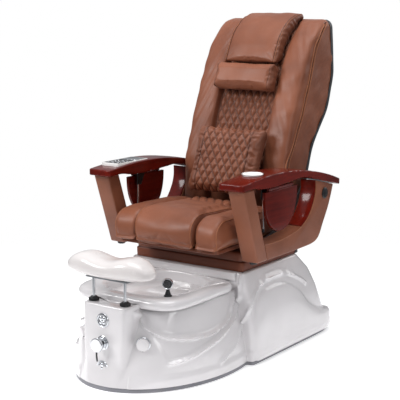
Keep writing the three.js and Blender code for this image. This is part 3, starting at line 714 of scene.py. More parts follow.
class Effects:
    """The shader groups that several finishes share."""

    def __init__(self) -> None:
        """Builds each group once."""
        self.grain = self._grain()
        self.tone = self._tone()
        self.wear = self._wear()
        self.smudge = self._smudge()
        self.fibre = self._fibre()

    def _grain(self) -> bpy.types.NodeTree:
        """Pores and fine creases of a skin: a height from 0 to 1."""
        tree, given, made = start_group(
            "pore_grain", [("Vector", "Vector"), ("Pores", "Float"), ("Creases", "Float")],
            [("Height", "Float")])
        cells = add_node(tree, "ShaderNodeTexVoronoi",
                         {"Vector": given.outputs["Vector"], "Scale": given.outputs["Pores"]},
                         feature="SMOOTH_F1")
        folds = add_node(tree, "ShaderNodeTexNoise",
                         {"Vector": given.outputs["Vector"], "Scale": given.outputs["Creases"],
                          "Detail": 4.0})
        both = add_node(tree, "ShaderNodeMath", {0: cells.outputs["Distance"], 1: folds.outputs["Fac"]},
                        operation="ADD")
        half = add_node(tree, "ShaderNodeMath", {0: both.outputs[0], 1: 0.5}, operation="MULTIPLY")
        tree.links.new(half.outputs[0], made.inputs["Height"])
        return tree

    def _tone(self) -> bpy.types.NodeTree:
        """A colour that drifts between two shades in soft patches."""
        tree, given, made = start_group(
            "tone_drift", [("Vector", "Vector"), ("Light", "Color"), ("Dark", "Color"), ("Patches", "Float")],
            [("Color", "Color")])
        cloud = add_node(tree, "ShaderNodeTexNoise",
                         {"Vector": given.outputs["Vector"], "Scale": given.outputs["Patches"], "Detail": 3.0,
                          "Roughness": 0.55})
        spread = add_node(tree, "ShaderNodeMapRange",
                          {"Value": cloud.outputs["Fac"], "From Min": 0.32, "From Max": 0.7})
        mix = add_node(tree, "ShaderNodeMix",
                       {0: spread.outputs["Result"], 6: given.outputs["Light"], 7: given.outputs["Dark"]},
                       data_type="RGBA")
        tree.links.new(mix.outputs[2], made.inputs["Color"])
        return tree

    def _wear(self) -> bpy.types.NodeTree:
        """A mask of handled edges, broken up by a fine noise."""
        tree, given, made = start_group(
            "edge_wear", [("Vector", "Vector"), ("Size", "Float")], [("Mask", "Float")])
        shape = add_node(tree, "ShaderNodeNewGeometry")
        edge = add_node(tree, "ShaderNodeMapRange",
                        {"Value": shape.outputs["Pointiness"], "From Min": 0.52, "From Max": 0.62})
        speck = add_node(tree, "ShaderNodeTexNoise",
                         {"Vector": given.outputs["Vector"], "Scale": given.outputs["Size"], "Detail": 2.0})
        mask = add_node(tree, "ShaderNodeMath", {0: edge.outputs["Result"], 1: speck.outputs["Fac"]},
                        operation="MULTIPLY")
        tree.links.new(mask.outputs[0], made.inputs["Mask"])
        return tree

    def _smudge(self) -> bpy.types.NodeTree:
        """A roughness that drifts between two values, as on a wiped surface."""
        tree, given, made = start_group(
            "wiped_sheen", [("Vector", "Vector"), ("Size", "Float"), ("Smooth", "Float"), ("Dull", "Float")],
            [("Roughness", "Float")])
        cloud = add_node(tree, "ShaderNodeTexNoise",
                         {"Vector": given.outputs["Vector"], "Scale": given.outputs["Size"], "Detail": 3.0})
        spread = add_node(tree, "ShaderNodeMapRange",
                          {"Value": cloud.outputs["Fac"], "From Min": 0.3, "From Max": 0.7,
                           "To Min": given.outputs["Smooth"], "To Max": given.outputs["Dull"]})
        tree.links.new(spread.outputs["Result"], made.inputs["Roughness"])
        return tree

    def _fibre(self) -> bpy.types.NodeTree:
        """Long streaks along Y, for wood and for brushed metal: a mask from 0 to 1."""
        tree, given, made = start_group(
            "long_fibre", [("Vector", "Vector"), ("Fineness", "Float"), ("Stretch", "Vector")],
            [("Mask", "Float")])
        drawn = add_node(tree, "ShaderNodeVectorMath",
                         {0: given.outputs["Vector"], 1: given.outputs["Stretch"]}, operation="MULTIPLY")
        streak = add_node(tree, "ShaderNodeTexNoise",
                          {"Vector": drawn.outputs[0], "Scale": given.outputs["Fineness"], "Detail": 5.0,
                           "Roughness": 0.6, "Distortion": 0.4})
        spread = add_node(tree, "ShaderNodeMapRange",
                          {"Value": streak.outputs["Fac"], "From Min": 0.3, "From Max": 0.72})
        tree.links.new(spread.outputs["Result"], made.inputs["Mask"])
        return tree


@dataclass(frozen=True)
class Finish:
    """A surface finish. Subclasses add what the real one shows."""

    name: str
    light: str
    dark: str
    smooth: float = 0.3
    dull: float = 0.4
    patches: float = 6.0

    def begin(self, fx: Effects) -> tuple[bpy.types.Material, bpy.types.NodeTree, bpy.types.Node,
                                          bpy.types.NodeSocket]:
        """The material with its drifting colour and roughness.

        Args:
            fx: the shared groups.

        Returns:
            The material, its tree, its shader and the place socket.
        """
        material = bpy.data.materials.new(self.name)
        material.use_nodes = True
        tree = material.node_tree
        shader = tree.nodes["Principled BSDF"]
        place = add_node(tree, "ShaderNodeTexCoord").outputs["Object"]
        tone = add_node(tree, "ShaderNodeGroup", node_tree=fx.tone)
        tree.links.new(place, tone.inputs["Vector"])
        tone.inputs["Light"].default_value = linear(self.light)
        tone.inputs["Dark"].default_value = linear(self.dark)
        tone.inputs["Patches"].default_value = self.patches
        tree.links.new(tone.outputs["Color"], shader.inputs["Base Color"])
        sheen = add_node(tree, "ShaderNodeGroup", node_tree=fx.smudge)
        tree.links.new(place, sheen.inputs["Vector"])
        sheen.inputs["Size"].default_value = 14.0
        sheen.inputs["Smooth"].default_value = self.smooth
        sheen.inputs["Dull"].default_value = self.dull
        tree.links.new(sheen.outputs["Roughness"], shader.inputs["Roughness"])
        return material, tree, shader, place

    def relief(self, fx: Effects, tree: bpy.types.NodeTree, shader: bpy.types.Node,
               place: bpy.types.NodeSocket, pores: float, creases: float, strength: float,
               depth: float) -> None:
        """Adds a fine grain to the shader's normal."""
        grain = add_node(tree, "ShaderNodeGroup", node_tree=fx.grain)
        tree.links.new(place, grain.inputs["Vector"])
        grain.inputs["Pores"].default_value = pores
        grain.inputs["Creases"].default_value = creases
        lift = add_node(tree, "ShaderNodeBump",
                        {"Height": grain.outputs["Height"], "Strength": strength, "Distance": depth})
        tree.links.new(lift.outputs["Normal"], shader.inputs["Normal"])

    def overlay(self, tree: bpy.types.NodeTree, shader: bpy.types.Node, mask: bpy.types.NodeSocket,
                colour: str, most: float) -> None:
        """Mixes another colour over the base where a mask is high."""
        under = shader.inputs["Base Color"].links[0].from_socket
        amount = add_node(tree, "ShaderNodeMath", {0: mask, 1: most}, operation="MULTIPLY", use_clamp=True)
        mix = add_node(tree, "ShaderNodeMix", {0: amount.outputs[0], 6: under, 7: linear(colour)},
                       data_type="RGBA")
        tree.links.new(mix.outputs[2], shader.inputs["Base Color"])

    def material(self, fx: Effects) -> bpy.types.Material:
        """Moulded plastic with a faint texture."""
        material, tree, shader, place = self.begin(fx)
        self.relief(fx, tree, shader, place, 700.0, 90.0, 0.12, 0.0004)
        return material


@dataclass(frozen=True)
class Leather(Finish):
    """Soft upholstery leather with pores, painted shade in its seams, grooves and folds, and paler on its
    edges.
    """

    # colour of the painted shade in seams, grooves and folds
    painted_shade: str = "371509"
    edge: str = "a8745a"
    pores: float = 620.0

    def material(self, fx: Effects) -> bpy.types.Material:
        """The leather's material."""
        material, tree, shader, place = self.begin(fx)
        # painted shade: darkens the leather where the shade mask stored on the mesh is high
        shade_mask = add_node(tree, "ShaderNodeAttribute", attribute_name="painted_shade", attribute_type="GEOMETRY")
        self.overlay(tree, shader, shade_mask.outputs["Fac"], self.painted_shade, 0.92)
        wear = add_node(tree, "ShaderNodeGroup", node_tree=fx.wear)
        tree.links.new(place, wear.inputs["Vector"])
        wear.inputs["Size"].default_value = 160.0
        self.overlay(tree, shader, wear.outputs["Mask"], self.edge, 0.4)
        self.relief(fx, tree, shader, place, self.pores, 34.0, 0.32, 0.0011)
        shader.inputs["Sheen Weight"].default_value = 0.05
        shader.inputs["Sheen Roughness"].default_value = 0.4
        shader.inputs["Specular IOR Level"].default_value = 0.36
        return material


@dataclass(frozen=True)
class Lacquer(Finish):
    """Stained wood under a thick clear coat."""

    streak: str = "2a0806"

    def material(self, fx: Effects) -> bpy.types.Material:
        """The lacquered wood's material."""
        material, tree, shader, place = self.begin(fx)
        fibre = add_node(tree, "ShaderNodeGroup", node_tree=fx.fibre)
        tree.links.new(place, fibre.inputs["Vector"])
        fibre.inputs["Fineness"].default_value = 34.0
        fibre.inputs["Stretch"].default_value = (1.6, 0.09, 1.6)
        self.overlay(tree, shader, fibre.outputs["Mask"], self.streak, 0.5)
        lift = add_node(tree, "ShaderNodeBump",
                        {"Height": fibre.outputs["Mask"], "Strength": 0.06, "Distance": 0.0004})
        tree.links.new(lift.outputs["Normal"], shader.inputs["Normal"])
        shader.inputs["Specular IOR Level"].default_value = 0.18
        shader.inputs["Coat Weight"].default_value = 0.18
        shader.inputs["Coat Roughness"].default_value = 0.06
        return material


@dataclass(frozen=True)
class Gloss(Finish):
    """Moulded gelcoat or glazed ware: bright, slightly pearly, clear on top."""

    coat: float = 0.7
    grime: str = "b9b2b4"

    def material(self, fx: Effects) -> bpy.types.Material:
        """The glossy shell's material."""
        material, tree, shader, place = self.begin(fx)
        wear = add_node(tree, "ShaderNodeGroup", node_tree=fx.wear)
        tree.links.new(place, wear.inputs["Vector"])
        wear.inputs["Size"].default_value = 60.0
        self.overlay(tree, shader, wear.outputs["Mask"], self.grime, 0.15)
        self.relief(fx, tree, shader, place, 120.0, 8.0, 0.035, 0.001)
        shader.inputs["Coat Weight"].default_value = self.coat
        shader.inputs["Coat Roughness"].default_value = 0.05
        return material


@dataclass(frozen=True)
class Metal(Finish):
    """Plated or brushed metal."""

    brushed: bool = False

    def material(self, fx: Effects) -> bpy.types.Material:
        """The metal's material."""
        material, tree, shader, place = self.begin(fx)
        shader.inputs["Metallic"].default_value = 1.0
        if self.brushed:
            fibre = add_node(tree, "ShaderNodeGroup", node_tree=fx.fibre)
            tree.links.new(place, fibre.inputs["Vector"])
            fibre.inputs["Fineness"].default_value = 160.0
            fibre.inputs["Stretch"].default_value = (1.0, 0.04, 1.0)
            lift = add_node(tree, "ShaderNodeBump",
                            {"Height": fibre.outputs["Mask"], "Strength": 0.15, "Distance": 0.0003})
            tree.links.new(lift.outputs["Normal"], shader.inputs["Normal"])
        return material


class Workshop:
    """Holds the finishes, and settles each piece on its body."""

    finishes: dict[Slot, Finish] = {
        Slot.LEATHER: Leather("saddle_leather", "8f563d", "76432d", 0.36, 0.5, 5.0),
        Slot.WOOD: Lacquer("mahogany_lacquer", "781c10", "561009", 0.12, 0.2, 4.0),
        Slot.PEARL: Gloss("pearl_gelcoat", "dfdcdd", "d4d1d2", 0.1, 0.18, 3.0),
        Slot.PAD: Gloss("white_pad", "e6e1df", "dcd6d4", 0.2, 0.28, 5.0, 0.4),
        Slot.STRIP: Finish("grey_strip", "8b8b90", "77777d", 0.4, 0.55),
        Slot.CHROME: Metal("bright_chrome", "dfe1e4", "c9ccd0", 0.05, 0.13),
        Slot.STEEL: Metal("brushed_steel", "9a9da1", "85888d", 0.28, 0.42, 6.0, True),
        Slot.BLACK: Finish("black_plastic", "1b1b1e", "121214", 0.3, 0.45),
        Slot.CHARCOAL: Finish("charcoal_shell", "34383c", "292c30", 0.42, 0.55),
        Slot.CERAMIC: Gloss("glazed_ware", "f8f7f5", "f0efec", 0.08, 0.14, 6.0, 0.9),
    }
    # a darker copy of the leather: painted shade for the plinth cover and the seat skirt under the cushion
    shade_copy_leather = Leather("shaded_leather", "733a24", "60301c", 0.36, 0.5, 5.0)
    # a paler copy of the leather for the welts: painted highlight along the piping
    welt_highlight_leather = Leather("welt_painted_highlight", "a3643f", "8a5033", 0.4, 0.52, 8.0)
    glass = Finish("key_panel", "101114", "0a0a0c", 0.1, 0.16)

    def __init__(self) -> None:
        """Builds the shared effects and every material."""
        fx = Effects()
        self.of = {slot: finish.material(fx) for slot, finish in self.finishes.items()}
        self.deep = self.shade_copy_leather.material(fx)
        self.welt = self.welt_highlight_leather.material(fx)
        self.panel = self.glass.material(fx)

    def paint(self, piece: bpy.types.Object, material: bpy.types.Material) -> bpy.types.Object:
        """Gives a piece one material."""
        piece.data.materials.clear()
        piece.data.materials.append(material)
        return piece

    def settle(self, piece: bpy.types.Object, body: str, slot: Slot, replaces: Sequence[str] = (),
               material: bpy.types.Material | None = None, fill: float | None = None,
               keep: bool = False) -> bpy.types.Object:
        """Finishes a piece and seats it.

        Args:
            piece: the piece, in place.
            body: the body that it rides on.
            slot: the record's slot.
            replaces: the CAD nodes that it stands for.
            material: another material than the slot's own.
            fill: how full it is, for a padded piece; not used.
            keep: whether it keeps the materials that it has.

        Returns:
            The piece.
        """
        if not keep:
            self.paint(piece, material or self.of[slot])
        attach(piece, body)
        if replaces:
            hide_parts(*replaces)
        log.info("%s rides on %s, %d points", piece.name, body, len(piece.data.vertices))
        return piece


# ---------------------------------------------------------------- pedestal


@dataclass
class Pedestal:
    """The moulded white shell with its flowing ridges, the control column and the kick strip."""

    shop: Workshop
    # The nose's outline as (widest line, half width, depth in front, power).
    nose_floor: tuple = (-225.0, 333.0, 468.0, 2.0)
    nose_top: tuple = (-301.0, 258.0, 246.0, 2.8)
    nose_back: float = 249.0
    nose_height: float = 318.0
    # The rounded edge under the basin's rim: where it starts, how high it is and how far it draws in.
    edge_from: float = 302.0
    edge_high: float = 16.0
    edge_deep: float = 6.0
    rear_front: float = -97.0
    cap_back: float = -566.0
    foot: float = 18.4
    rear_side: tuple = ((0, 350), (120, 346), (220, 335), (300, 320), (360, 305), (395, 297))
    rear_back: tuple = ((0, 588), (96, 619), (101, 600), (106, 566), (128, 548), (230, 507), (319, 457),
                        (370, 402), (395, 374))
    column_front: tuple = ((0, -678), (40, -667), (80, -661), (200, -657), (339, -652))
    column_side: tuple = ((0, 126), (40, 119), (90, 113), (200, 110), (339, 109))
    column_power: tuple = ((0, 5), (40, 6.5), (90, 11), (140, 16), (200, 20), (339, 26))
    # Places that each ridge passes, as (half width, y, z).
    bowl_ridge: tuple = ((112, -604, 312), (126, -578, 272), (150, -546, 243), (206, -521, 217),
                         (259, -460, 201), (291, -366, 194), (295, -279, 197), (285, -197, 219),
                         (266, -139, 264), (252, -111, 318))
    sweep_ridge: tuple = ((297, -96, 396), (286, -98, 330), (282, -100, 285), (281, -136, 222),
                          (298, -240, 176), (303, -384, 144), (286, -463, 124), (240, -540, 108))
    arch_ridge: tuple = ((326, 372, 262), (323, 338, 288), (311, 242, 331), (308, 119, 347), (313, -2, 325),
                         (322, -75, 270), (310, -98, 200), (311, -168, 119), (328, -297, 71))
    dome: tuple = ((330, -66, 10), (330, -76, 120), (330, -60, 215), (320, -12, 282), (315, 80, 308),
                   (315, 200, 298), (318, 300, 244), (325, 360, 178), (330, 440, 130), (340, 590, 96),
                   (345, 640, 10))

    def nose_reach(self, angle: np.ndarray, z: float) -> np.ndarray:
        """How far the nose reaches from the chair's middle at each angle, at a height."""
        share = (min(max(z, 0), self.nose_height) / self.nose_height) ** 1.25
        line, half, front, power = (a + (b - a) * share for a, b in zip(self.nose_floor, self.nose_top))

        def within(reach: np.ndarray) -> np.ndarray:
            """Whether a reach along each angle stays in the nose."""
            y = reach * np.sin(angle) - line
            depth = np.where(y < 0, front, self.nose_back - line)
            return (np.abs(reach * np.cos(angle)) / half) ** power + (np.abs(y) / depth) ** power < 1

        return farthest(within, len(angle), 1200.0)

    def rear_reach(self, angle: np.ndarray, z: float) -> np.ndarray:
        """How far the rear block reaches at each angle, at a height."""
        half = float(through(self.rear_side, z))
        return box_reach(angle, half, -self.rear_front, float(np.interp(z, *zip(*self.rear_back))), 16)

    def column_reach(self, angle: np.ndarray, z: float) -> np.ndarray:
        """How far the control column reaches at each angle, at a height; nothing behind the middle."""
        reach = box_reach(angle, float(through(self.column_side, z)), -float(through(self.column_front, z)),
                          1.0, float(np.interp(z, *zip(*self.column_power))))
        return np.where(np.sin(angle) < 0, reach, 0)

    def reach(self, angle: np.ndarray, z: float) -> np.ndarray:
        """How far the whole shell reaches at each angle, its parts blended with small fillets."""
        both = self.blend(self.nose_reach(angle, z), self.rear_reach(angle, z), 14)
        return self.blend(both, self.column_reach(angle, z), 20)

    @staticmethod
    def blend(a: np.ndarray, b: np.ndarray, fillet: float) -> np.ndarray:
        """The larger of two reaches, with a fillet where they cross."""
        h = np.clip(0.5 + 0.5 * (a - b) / fillet, 0, 1)
        return b + (a - b) * h + fillet * h * (1 - h)

    def angles(self) -> tuple[np.ndarray, np.ndarray]:
        """Angles of one half of the outline, from front to back, and the distance along it at each."""
        fine = np.radians(np.linspace(-90, 90, 5401))
        steps = []
        for z in (40, 200, 316):
            r = self.reach(fine, z)
            steps.append(np.hypot(np.diff(r * np.cos(fine)), np.diff(r * np.sin(fine))))
        length = np.concatenate([[0], np.cumsum(np.max(steps, axis=0))])
        chosen = np.interp(np.linspace(0, length[-1], int(length[-1] / 6.2)), length, fine)
        r = self.reach(chosen, 200)
        run = np.hypot(np.diff(r * np.cos(chosen)), np.diff(r * np.sin(chosen)))
        return chosen, np.concatenate([[0], np.cumsum(run)])

    def unrolled(self, places: Rows, angle: np.ndarray, run: np.ndarray, count: int = 60) -> np.ndarray:
        """A ridge's places as (distance along the outline, height)."""
        spots = np.asarray(places, float)
        at = np.interp(np.arctan2(spots[:, 1], spots[:, 0]), angle, run)
        return smooth_line(np.column_stack([at, spots[:, 2]]), count)

    def relief(self, angle: np.ndarray, run: np.ndarray, spots: np.ndarray) -> np.ndarray:
        """How far the ridges and the rear dome stand out at each place of the unrolled side."""
        bowl = self.unrolled(self.bowl_ridge, angle, run)
        sweep = self.unrolled(self.sweep_ridge, angle, run)
        arch = self.unrolled(self.arch_ridge, angle, run)
        dome = self.unrolled(self.dome, angle, run)
        basin = np.vstack([bowl, [[bowl[-1, 0], 430], [bowl[0, 0], 430]]])
        between = np.vstack([bowl, sweep])
        depth = 12.0 * bump(line_distance(spots, bowl), 6.5)
        depth += 12.5 * bump(line_distance(spots, sweep), 6.5)
        depth += 12.0 * bump(line_distance(spots, arch), 7.0)
        depth -= 6.5 * step_up(0, 14, inside_depth(spots, basin))
        depth -= 4.5 * step_up(0, 12, inside_depth(spots, between))
        swell_in = np.clip(inside_depth(spots, dome), 0, 70) / 70
        depth += 15.0 * np.sqrt(1 - (1 - swell_in) ** 2) * (swell_in > 0)
        depth += 3.5 * step_up(72, 44, spots[:, 1])
        depth -= 5.0 * bump(np.hypot(spots[:, 0] - dome[0, 0] + 6, (spots[:, 1] - 20) / 3), 9.0)
        return depth

    def ring(self, angle: np.ndarray, reach: np.ndarray, z: float, out: np.ndarray) -> np.ndarray:
        """The full loop at a height, from one half, pushed outwards.

        Args:
            angle: angles of the half outline.
            reach: how far it reaches at each.
            z: the height.
            out: how far each point is pushed out.

        Returns:
            The loop's points.
        """
        half = np.column_stack([reach * np.cos(angle), reach * np.sin(angle)])
        tangent = np.gradient(half, axis=0)
        normal = np.column_stack([tangent[:, 1], -tangent[:, 0]])
        normal /= np.maximum(np.linalg.norm(normal, axis=1, keepdims=True), 1e-9)
        normal[0], normal[-1] = (0, -1), (0, 1)
        half = half + normal * out[:, None]
        half[0, 0] = half[-1, 0] = 0
        mirror = half[-2:0:-1] * [-1, 1]
        return np.column_stack([np.vstack([half, mirror]), np.full(2 * len(half) - 2, z)])

    def build(self) -> None:
        """Makes the shell, the column's cap and foot, and the kick strip."""
        angle, run = self.angles()
        even = np.round(np.linspace(self.foot, self.nose_height, 54), 1)
        heights = sorted({*even, 94.0, 97.0, 100.0, 103.0, 106.0, 110.0})
        low = self.reach(angle, self.nose_height)
        shelf = np.clip((low - self.rear_reach(angle, self.nose_height)) / 10, 0, 1)
        shelf = shelf * (self.column_reach(angle, self.nose_height) < low - 12)
        plain = 1 - step_up(-16, 2, self.column_reach(angle, 200) - self.nose_reach(angle, 200))
        rings = []
        for z in heights:
            spots = np.column_stack([run, np.full(len(run), z)])
            out = self.relief(angle, run, spots) * plain
            if z > self.edge_from:
                left = math.sqrt(max(0, 1 - ((z - self.edge_from) / self.edge_high) ** 2))
                out = out - shelf * self.edge_deep * (1 - left)
            rings.append(self.ring(angle, self.reach(angle, z), z, out))
        top = np.column_stack([run, np.full(len(run), 340.0)])
        for z, inset in ((318.2, 0), (330, 0), (345, 0), (360, 0), (375, 0), (386, 0), (391, 1), (393.6, 3.2),
                         (394.6, 6.5), (394.8, 60)):
            top[:, 1] = z
            edge = self.relief(angle, run, top) * (1 - shelf) * plain * step_up(396, 380, np.array(z))
            rings.append(self.ring(angle, self.rear_reach(angle, z), z, edge - inset))
        shell = skin("pedestal_shell", np.array(rings), caps=(False, True), sharp=42)
        self.shop.settle(shell, "base", Slot.PEARL, ("base_shell",))
        self.cap(angle)
        strip = [self.ring(angle, self.reach(angle, 8), z, np.full(len(angle), -inset))
                 for z, inset in ((0.4, 7), (0.2, 5), (1.4, 3.2), (15.8, 3), (18.2, 4.5))]
        self.shop.settle(skin("kick_strip", np.array(strip)), "base", Slot.STRIP, ("base_pan",))

    def cap(self, angle: np.ndarray) -> None:
        """Makes the column's cap, which stands a little above the nose, and the toe at its foot."""
        reach = self.column_reach(angle, self.nose_height)
        half = np.column_stack([reach * np.cos(angle), reach * np.sin(angle)])
        half = half[half[:, 1] < self.cap_back + 8]
        corner = [[half[-1, 0], self.cap_back + 4], [half[-1, 0] - 5, self.cap_back]]
        side = np.vstack([half, corner])
        outline = resample(np.vstack([side, side[::-1] * [-1, 1]]), 150, closed=True)
        normal = outward(outline)
        rows = ((316, 0), (326, 0), (333, 0.2), (336.5, 1.6), (338.4, 4), (339, 7.5))
        rings = [np.column_stack([outline - normal * inset, np.full(len(outline), z)]) for z, inset in rows]
        cap = skin("column_cap", np.array(rings), caps=(False, True), sharp=50)
        self.shop.settle(cap, "base", Slot.PEARL)
        turn = np.linspace(0, 2 * math.pi, 60, endpoint=False)
        front = float(through(self.column_front, 36))
        rings = []
        for grow, lift in ((1.0, 0), (1.0, 2.5), (0.95, 4.5), (0.84, 4.5), (0.78, 2.2), (0.5, 1.2)):
            rise = 11 * grow * np.sin(turn)
            y = front - lift + 2.5 + 0.3 * rise
            rings.append(np.column_stack([62 * grow * np.cos(turn), y, 38 + rise]))
        toe = skin("column_toe", np.array(rings), caps=(False, True), sharp=60)
        self.shop.settle(toe, "base", Slot.PEARL)


# ---------------------------------------------------------------- foot basin


@dataclass
class Basin:
    """The foot basin with its rolled rim, strainer, jet, nozzle and hand shower."""

    shop: Workshop
    middle_y: float = -290.0
    rim_y: float = -301.0
    rim_half: float = 266.0
    rim_front: float = 261.0
    rim_power: float = 5.0
    rear_power: float = 11.0
    rear: float = -98.5
    wall_power: float = 2.8
    levels: tuple = ((98, 110, 110, 115), (104, 124, 122, 126), (116, 134, 131, 134), (150, 150, 148, 150),
                     (220, 168, 170, 165), (300, 181, 189, 175), (343, 187, 196, 180))
    lean: float = math.atan2(10, 80)

    def rim_reach(self, angle: np.ndarray) -> np.ndarray:
        """How far the rim's outer edge lies from the basin's middle at each angle."""

        def within(reach: np.ndarray) -> np.ndarray:
            """Whether a reach along each angle stays in the rim."""
            x = np.abs(reach * np.cos(angle)) / self.rim_half
            y = reach * np.sin(angle) + self.middle_y - self.rim_y
            back = (np.maximum(y, 0) / (self.rear - self.rim_y)) ** self.rear_power
            front = (np.maximum(-y, 0) / self.rim_front) ** self.rim_power
            return x ** np.where(y > 0, self.rear_power, self.rim_power) + back + front < 1

        return farthest(within, len(angle), 900.0)

    def wall_reach(self, angle: np.ndarray, z: float) -> np.ndarray:
        """How far the basin's inner wall lies from its middle at each angle, at a height."""
        keys = [row[0] for row in self.levels]
        half, front, back = (float(np.interp(z, keys, [row[k] for row in self.levels])) for k in (1, 2, 3))
        return box_reach(angle, half, front, back, self.wall_power)

    def build(self) -> None:
        """Makes the basin and its fittings."""
        angle = np.linspace(0, 2 * math.pi, 280, endpoint=False)
        outer, mouth = self.rim_reach(angle), self.wall_reach(angle, 343)
        section = ((0.12, 320.2), (0.04, 322), (0.0, 329), (-0.012, 338), (0.0, 347), (0.04, 354),
                   (0.1, 358.4), (0.2, 361), (0.35, 362), (0.55, 361.6), (0.74, 360), (0.87, 357),
                   (0.95, 352), (1.0, 343))
        rings = [self.loop(angle, outer + (mouth - outer) * share, z) for share, z in section]
        for z in (325, 300, 270, 240, 210, 180, 150, 130, 116, 108, 102):
            rings.append(self.loop(angle, self.wall_reach(angle, z), z))
        for share, z in ((0.92, 99.4), (0.8, 98.3), (0.55, 98), (0.25, 97.8)):
            rings.append(self.loop(angle, self.wall_reach(angle, 98) * share, z))
        bowl = skin("basin_bowl", np.array(rings), caps=(False, True), sharp=60)
        self.shop.settle(bowl, "base", Slot.PEARL, ("foot_basin",))
        self.back_wall()
        self.fittings()

    def loop(self, angle: np.ndarray, reach: np.ndarray, z: float) -> np.ndarray:
        """A loop about the basin's middle."""
        return np.column_stack([reach * np.cos(angle), self.middle_y + reach * np.sin(angle),
                                np.full(len(angle), z)])

    def back_wall(self) -> None:
        """Makes the upright wall behind the basin, faired into the rim."""
        profile = ((356, -3), (360, -8), (363, -10.5), (368, -11.5), (380, -11), (393, -9), (394.4, -4))
        x = np.concatenate([[-262], np.linspace(-258, 258, 70), [262]])
        fade = np.sqrt(np.clip(1 - (np.abs(x) / 264) ** 14, 0, 1))
        rings = [np.column_stack([x, self.rear + 1 + out * fade, np.full(len(x), z)]) for z, out in profile]
        wall = skin("basin_back_wall", np.array(rings), caps=(False, False), around=False, sharp=60)
        self.shop.settle(wall, "base", Slot.PEARL)

    def fittings(self) -> None:
        """Makes the strainer, the jet cover, the nozzle and the hand shower."""
        chrome, black, ware = (self.shop.of[s] for s in (Slot.CHROME, Slot.BLACK, Slot.CERAMIC))
        paint = self.shop.paint
        dish = paint(lathe("dish", ((0, 98.6), (27.5, 98.6), (28.4, 99.4), (27, 101.2), (22, 102), (0, 102.2))),
                     chrome)
        parts = [stand(dish, (0, self.middle_y, 0))]
        # black discs over the strainer's holes: painted shade in the openings
        for x, y in dots((8, 6), (16, 12)):
            hole_shade = paint(lathe("hole_shade", ((0, 102.3), (1.9, 102.4), (2.0, 102.1)), 12), black)
            parts.append(stand(hole_shade, (x, self.middle_y + y, 0)))
        self.shop.settle(merge("strainer", parts), "base", Slot.CHROME, ("drain_strainer",), keep=True)

        way = (0, -math.cos(self.lean), math.sin(self.lean))
        low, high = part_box("jet_cover")
        centre = (0, high.y / MM - 1.5, (low.z + high.z) / 2 / MM - 1)
        dome = paint(lathe("dome", ((0, 0), (33.5, 0), (34, 1.5), (33, 4), (29, 9), (22, 12.6), (12, 14.8),
                                    (0, 15.4))), ware)
        # black board on the dome: painted shade in the jet's slot
        slot = paint(board("slot", rounded_box(34, 5.5, 2.6, 24), 0, 1.2, 0.3), black)
        slot.data.transform(Matrix.Translation((0, 0, 14.7 * MM)) @ Matrix.Rotation(-math.pi / 2, 4, "Y"))
        parts = [stand(dome, centre, way), stand(slot, centre, way)]
        self.shop.settle(merge("whirl_jet", parts), "base", Slot.CERAMIC, ("jet_cover",), keep=True)
        low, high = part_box("air_nozzle")
        centre = ((low.x + high.x) / 2 / MM, high.y / MM - 1, (low.z + high.z) / 2 / MM)
        body = paint(lathe("body", ((0, 0), (11.6, 0), (12, 1), (11.4, 4), (8, 7), (7, 9.4), (5, 9.8),
                                    (4.6, 7))), chrome)
        # black disc in the mouth: painted shade in the nozzle's opening
        hole_shade = paint(lathe("hole_shade", ((0, 7.4), (4.8, 7.4), (4.8, 6.5))), black)
        parts = [stand(body, centre, way), stand(hole_shade, centre, way)]
        self.shop.settle(merge("bubble_nozzle", parts), "base", Slot.CHROME, ("air_nozzle",), keep=True)

        low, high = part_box("shower_socket")
        x, y, foot = (low.x + high.x) / 2 / MM, (low.y + high.y) / 2 / MM, low.z / MM
        socket = lathe("shower_seat", ((7, 0), (16.6, 0), (17, 1), (16.4, 4), (14.5, 5.7), (8, 6), (7, 5)))
        self.shop.settle(stand(socket, (x, y, foot)), "base", Slot.BLACK, ("shower_socket",))
        face = (math.sin(math.radians(20)), -math.cos(math.radians(20)), 0.05)
        spray = (x, y, foot + 51)
        stem = paint(lathe("stem", ((0, -27), (6.3, -27), (6.5, 6.4), (12, 6.6), (12.2, 9), (10, 15), (7.6, 22),
                                    (7.2, 34), (9, 42), (6, 44), (0, 44))), black)
        head = paint(lathe("head", ((0, -9), (14, -9), (20, -6), (22.8, -1), (23, 4), (21.5, 7.8), (19.4, 8.6),
                                    (17.8, 7))), chrome)
        plate = paint(lathe("plate", ((0, 8.6), (9, 8.3), (17.8, 7.2), (18.2, 6))), black)
        parts = [stand(stem, (x, y, foot)), stand(head, spray, face), stand(plate, spray, face)]
        for dx, dy in dots((5, 5), (11, 10)):
            drop = paint(lathe("drop", ((0, 9.3), (0.9, 9), (1.2, 8)), 8), chrome)
            parts.append(stand(stand(drop, (dx, dy, 0)), spray, face))
        self.shop.settle(merge("spray_head", parts), "shower", Slot.CHROME, ("hand_shower",), keep=True)


# ---------------------------------------------------------------- footrest


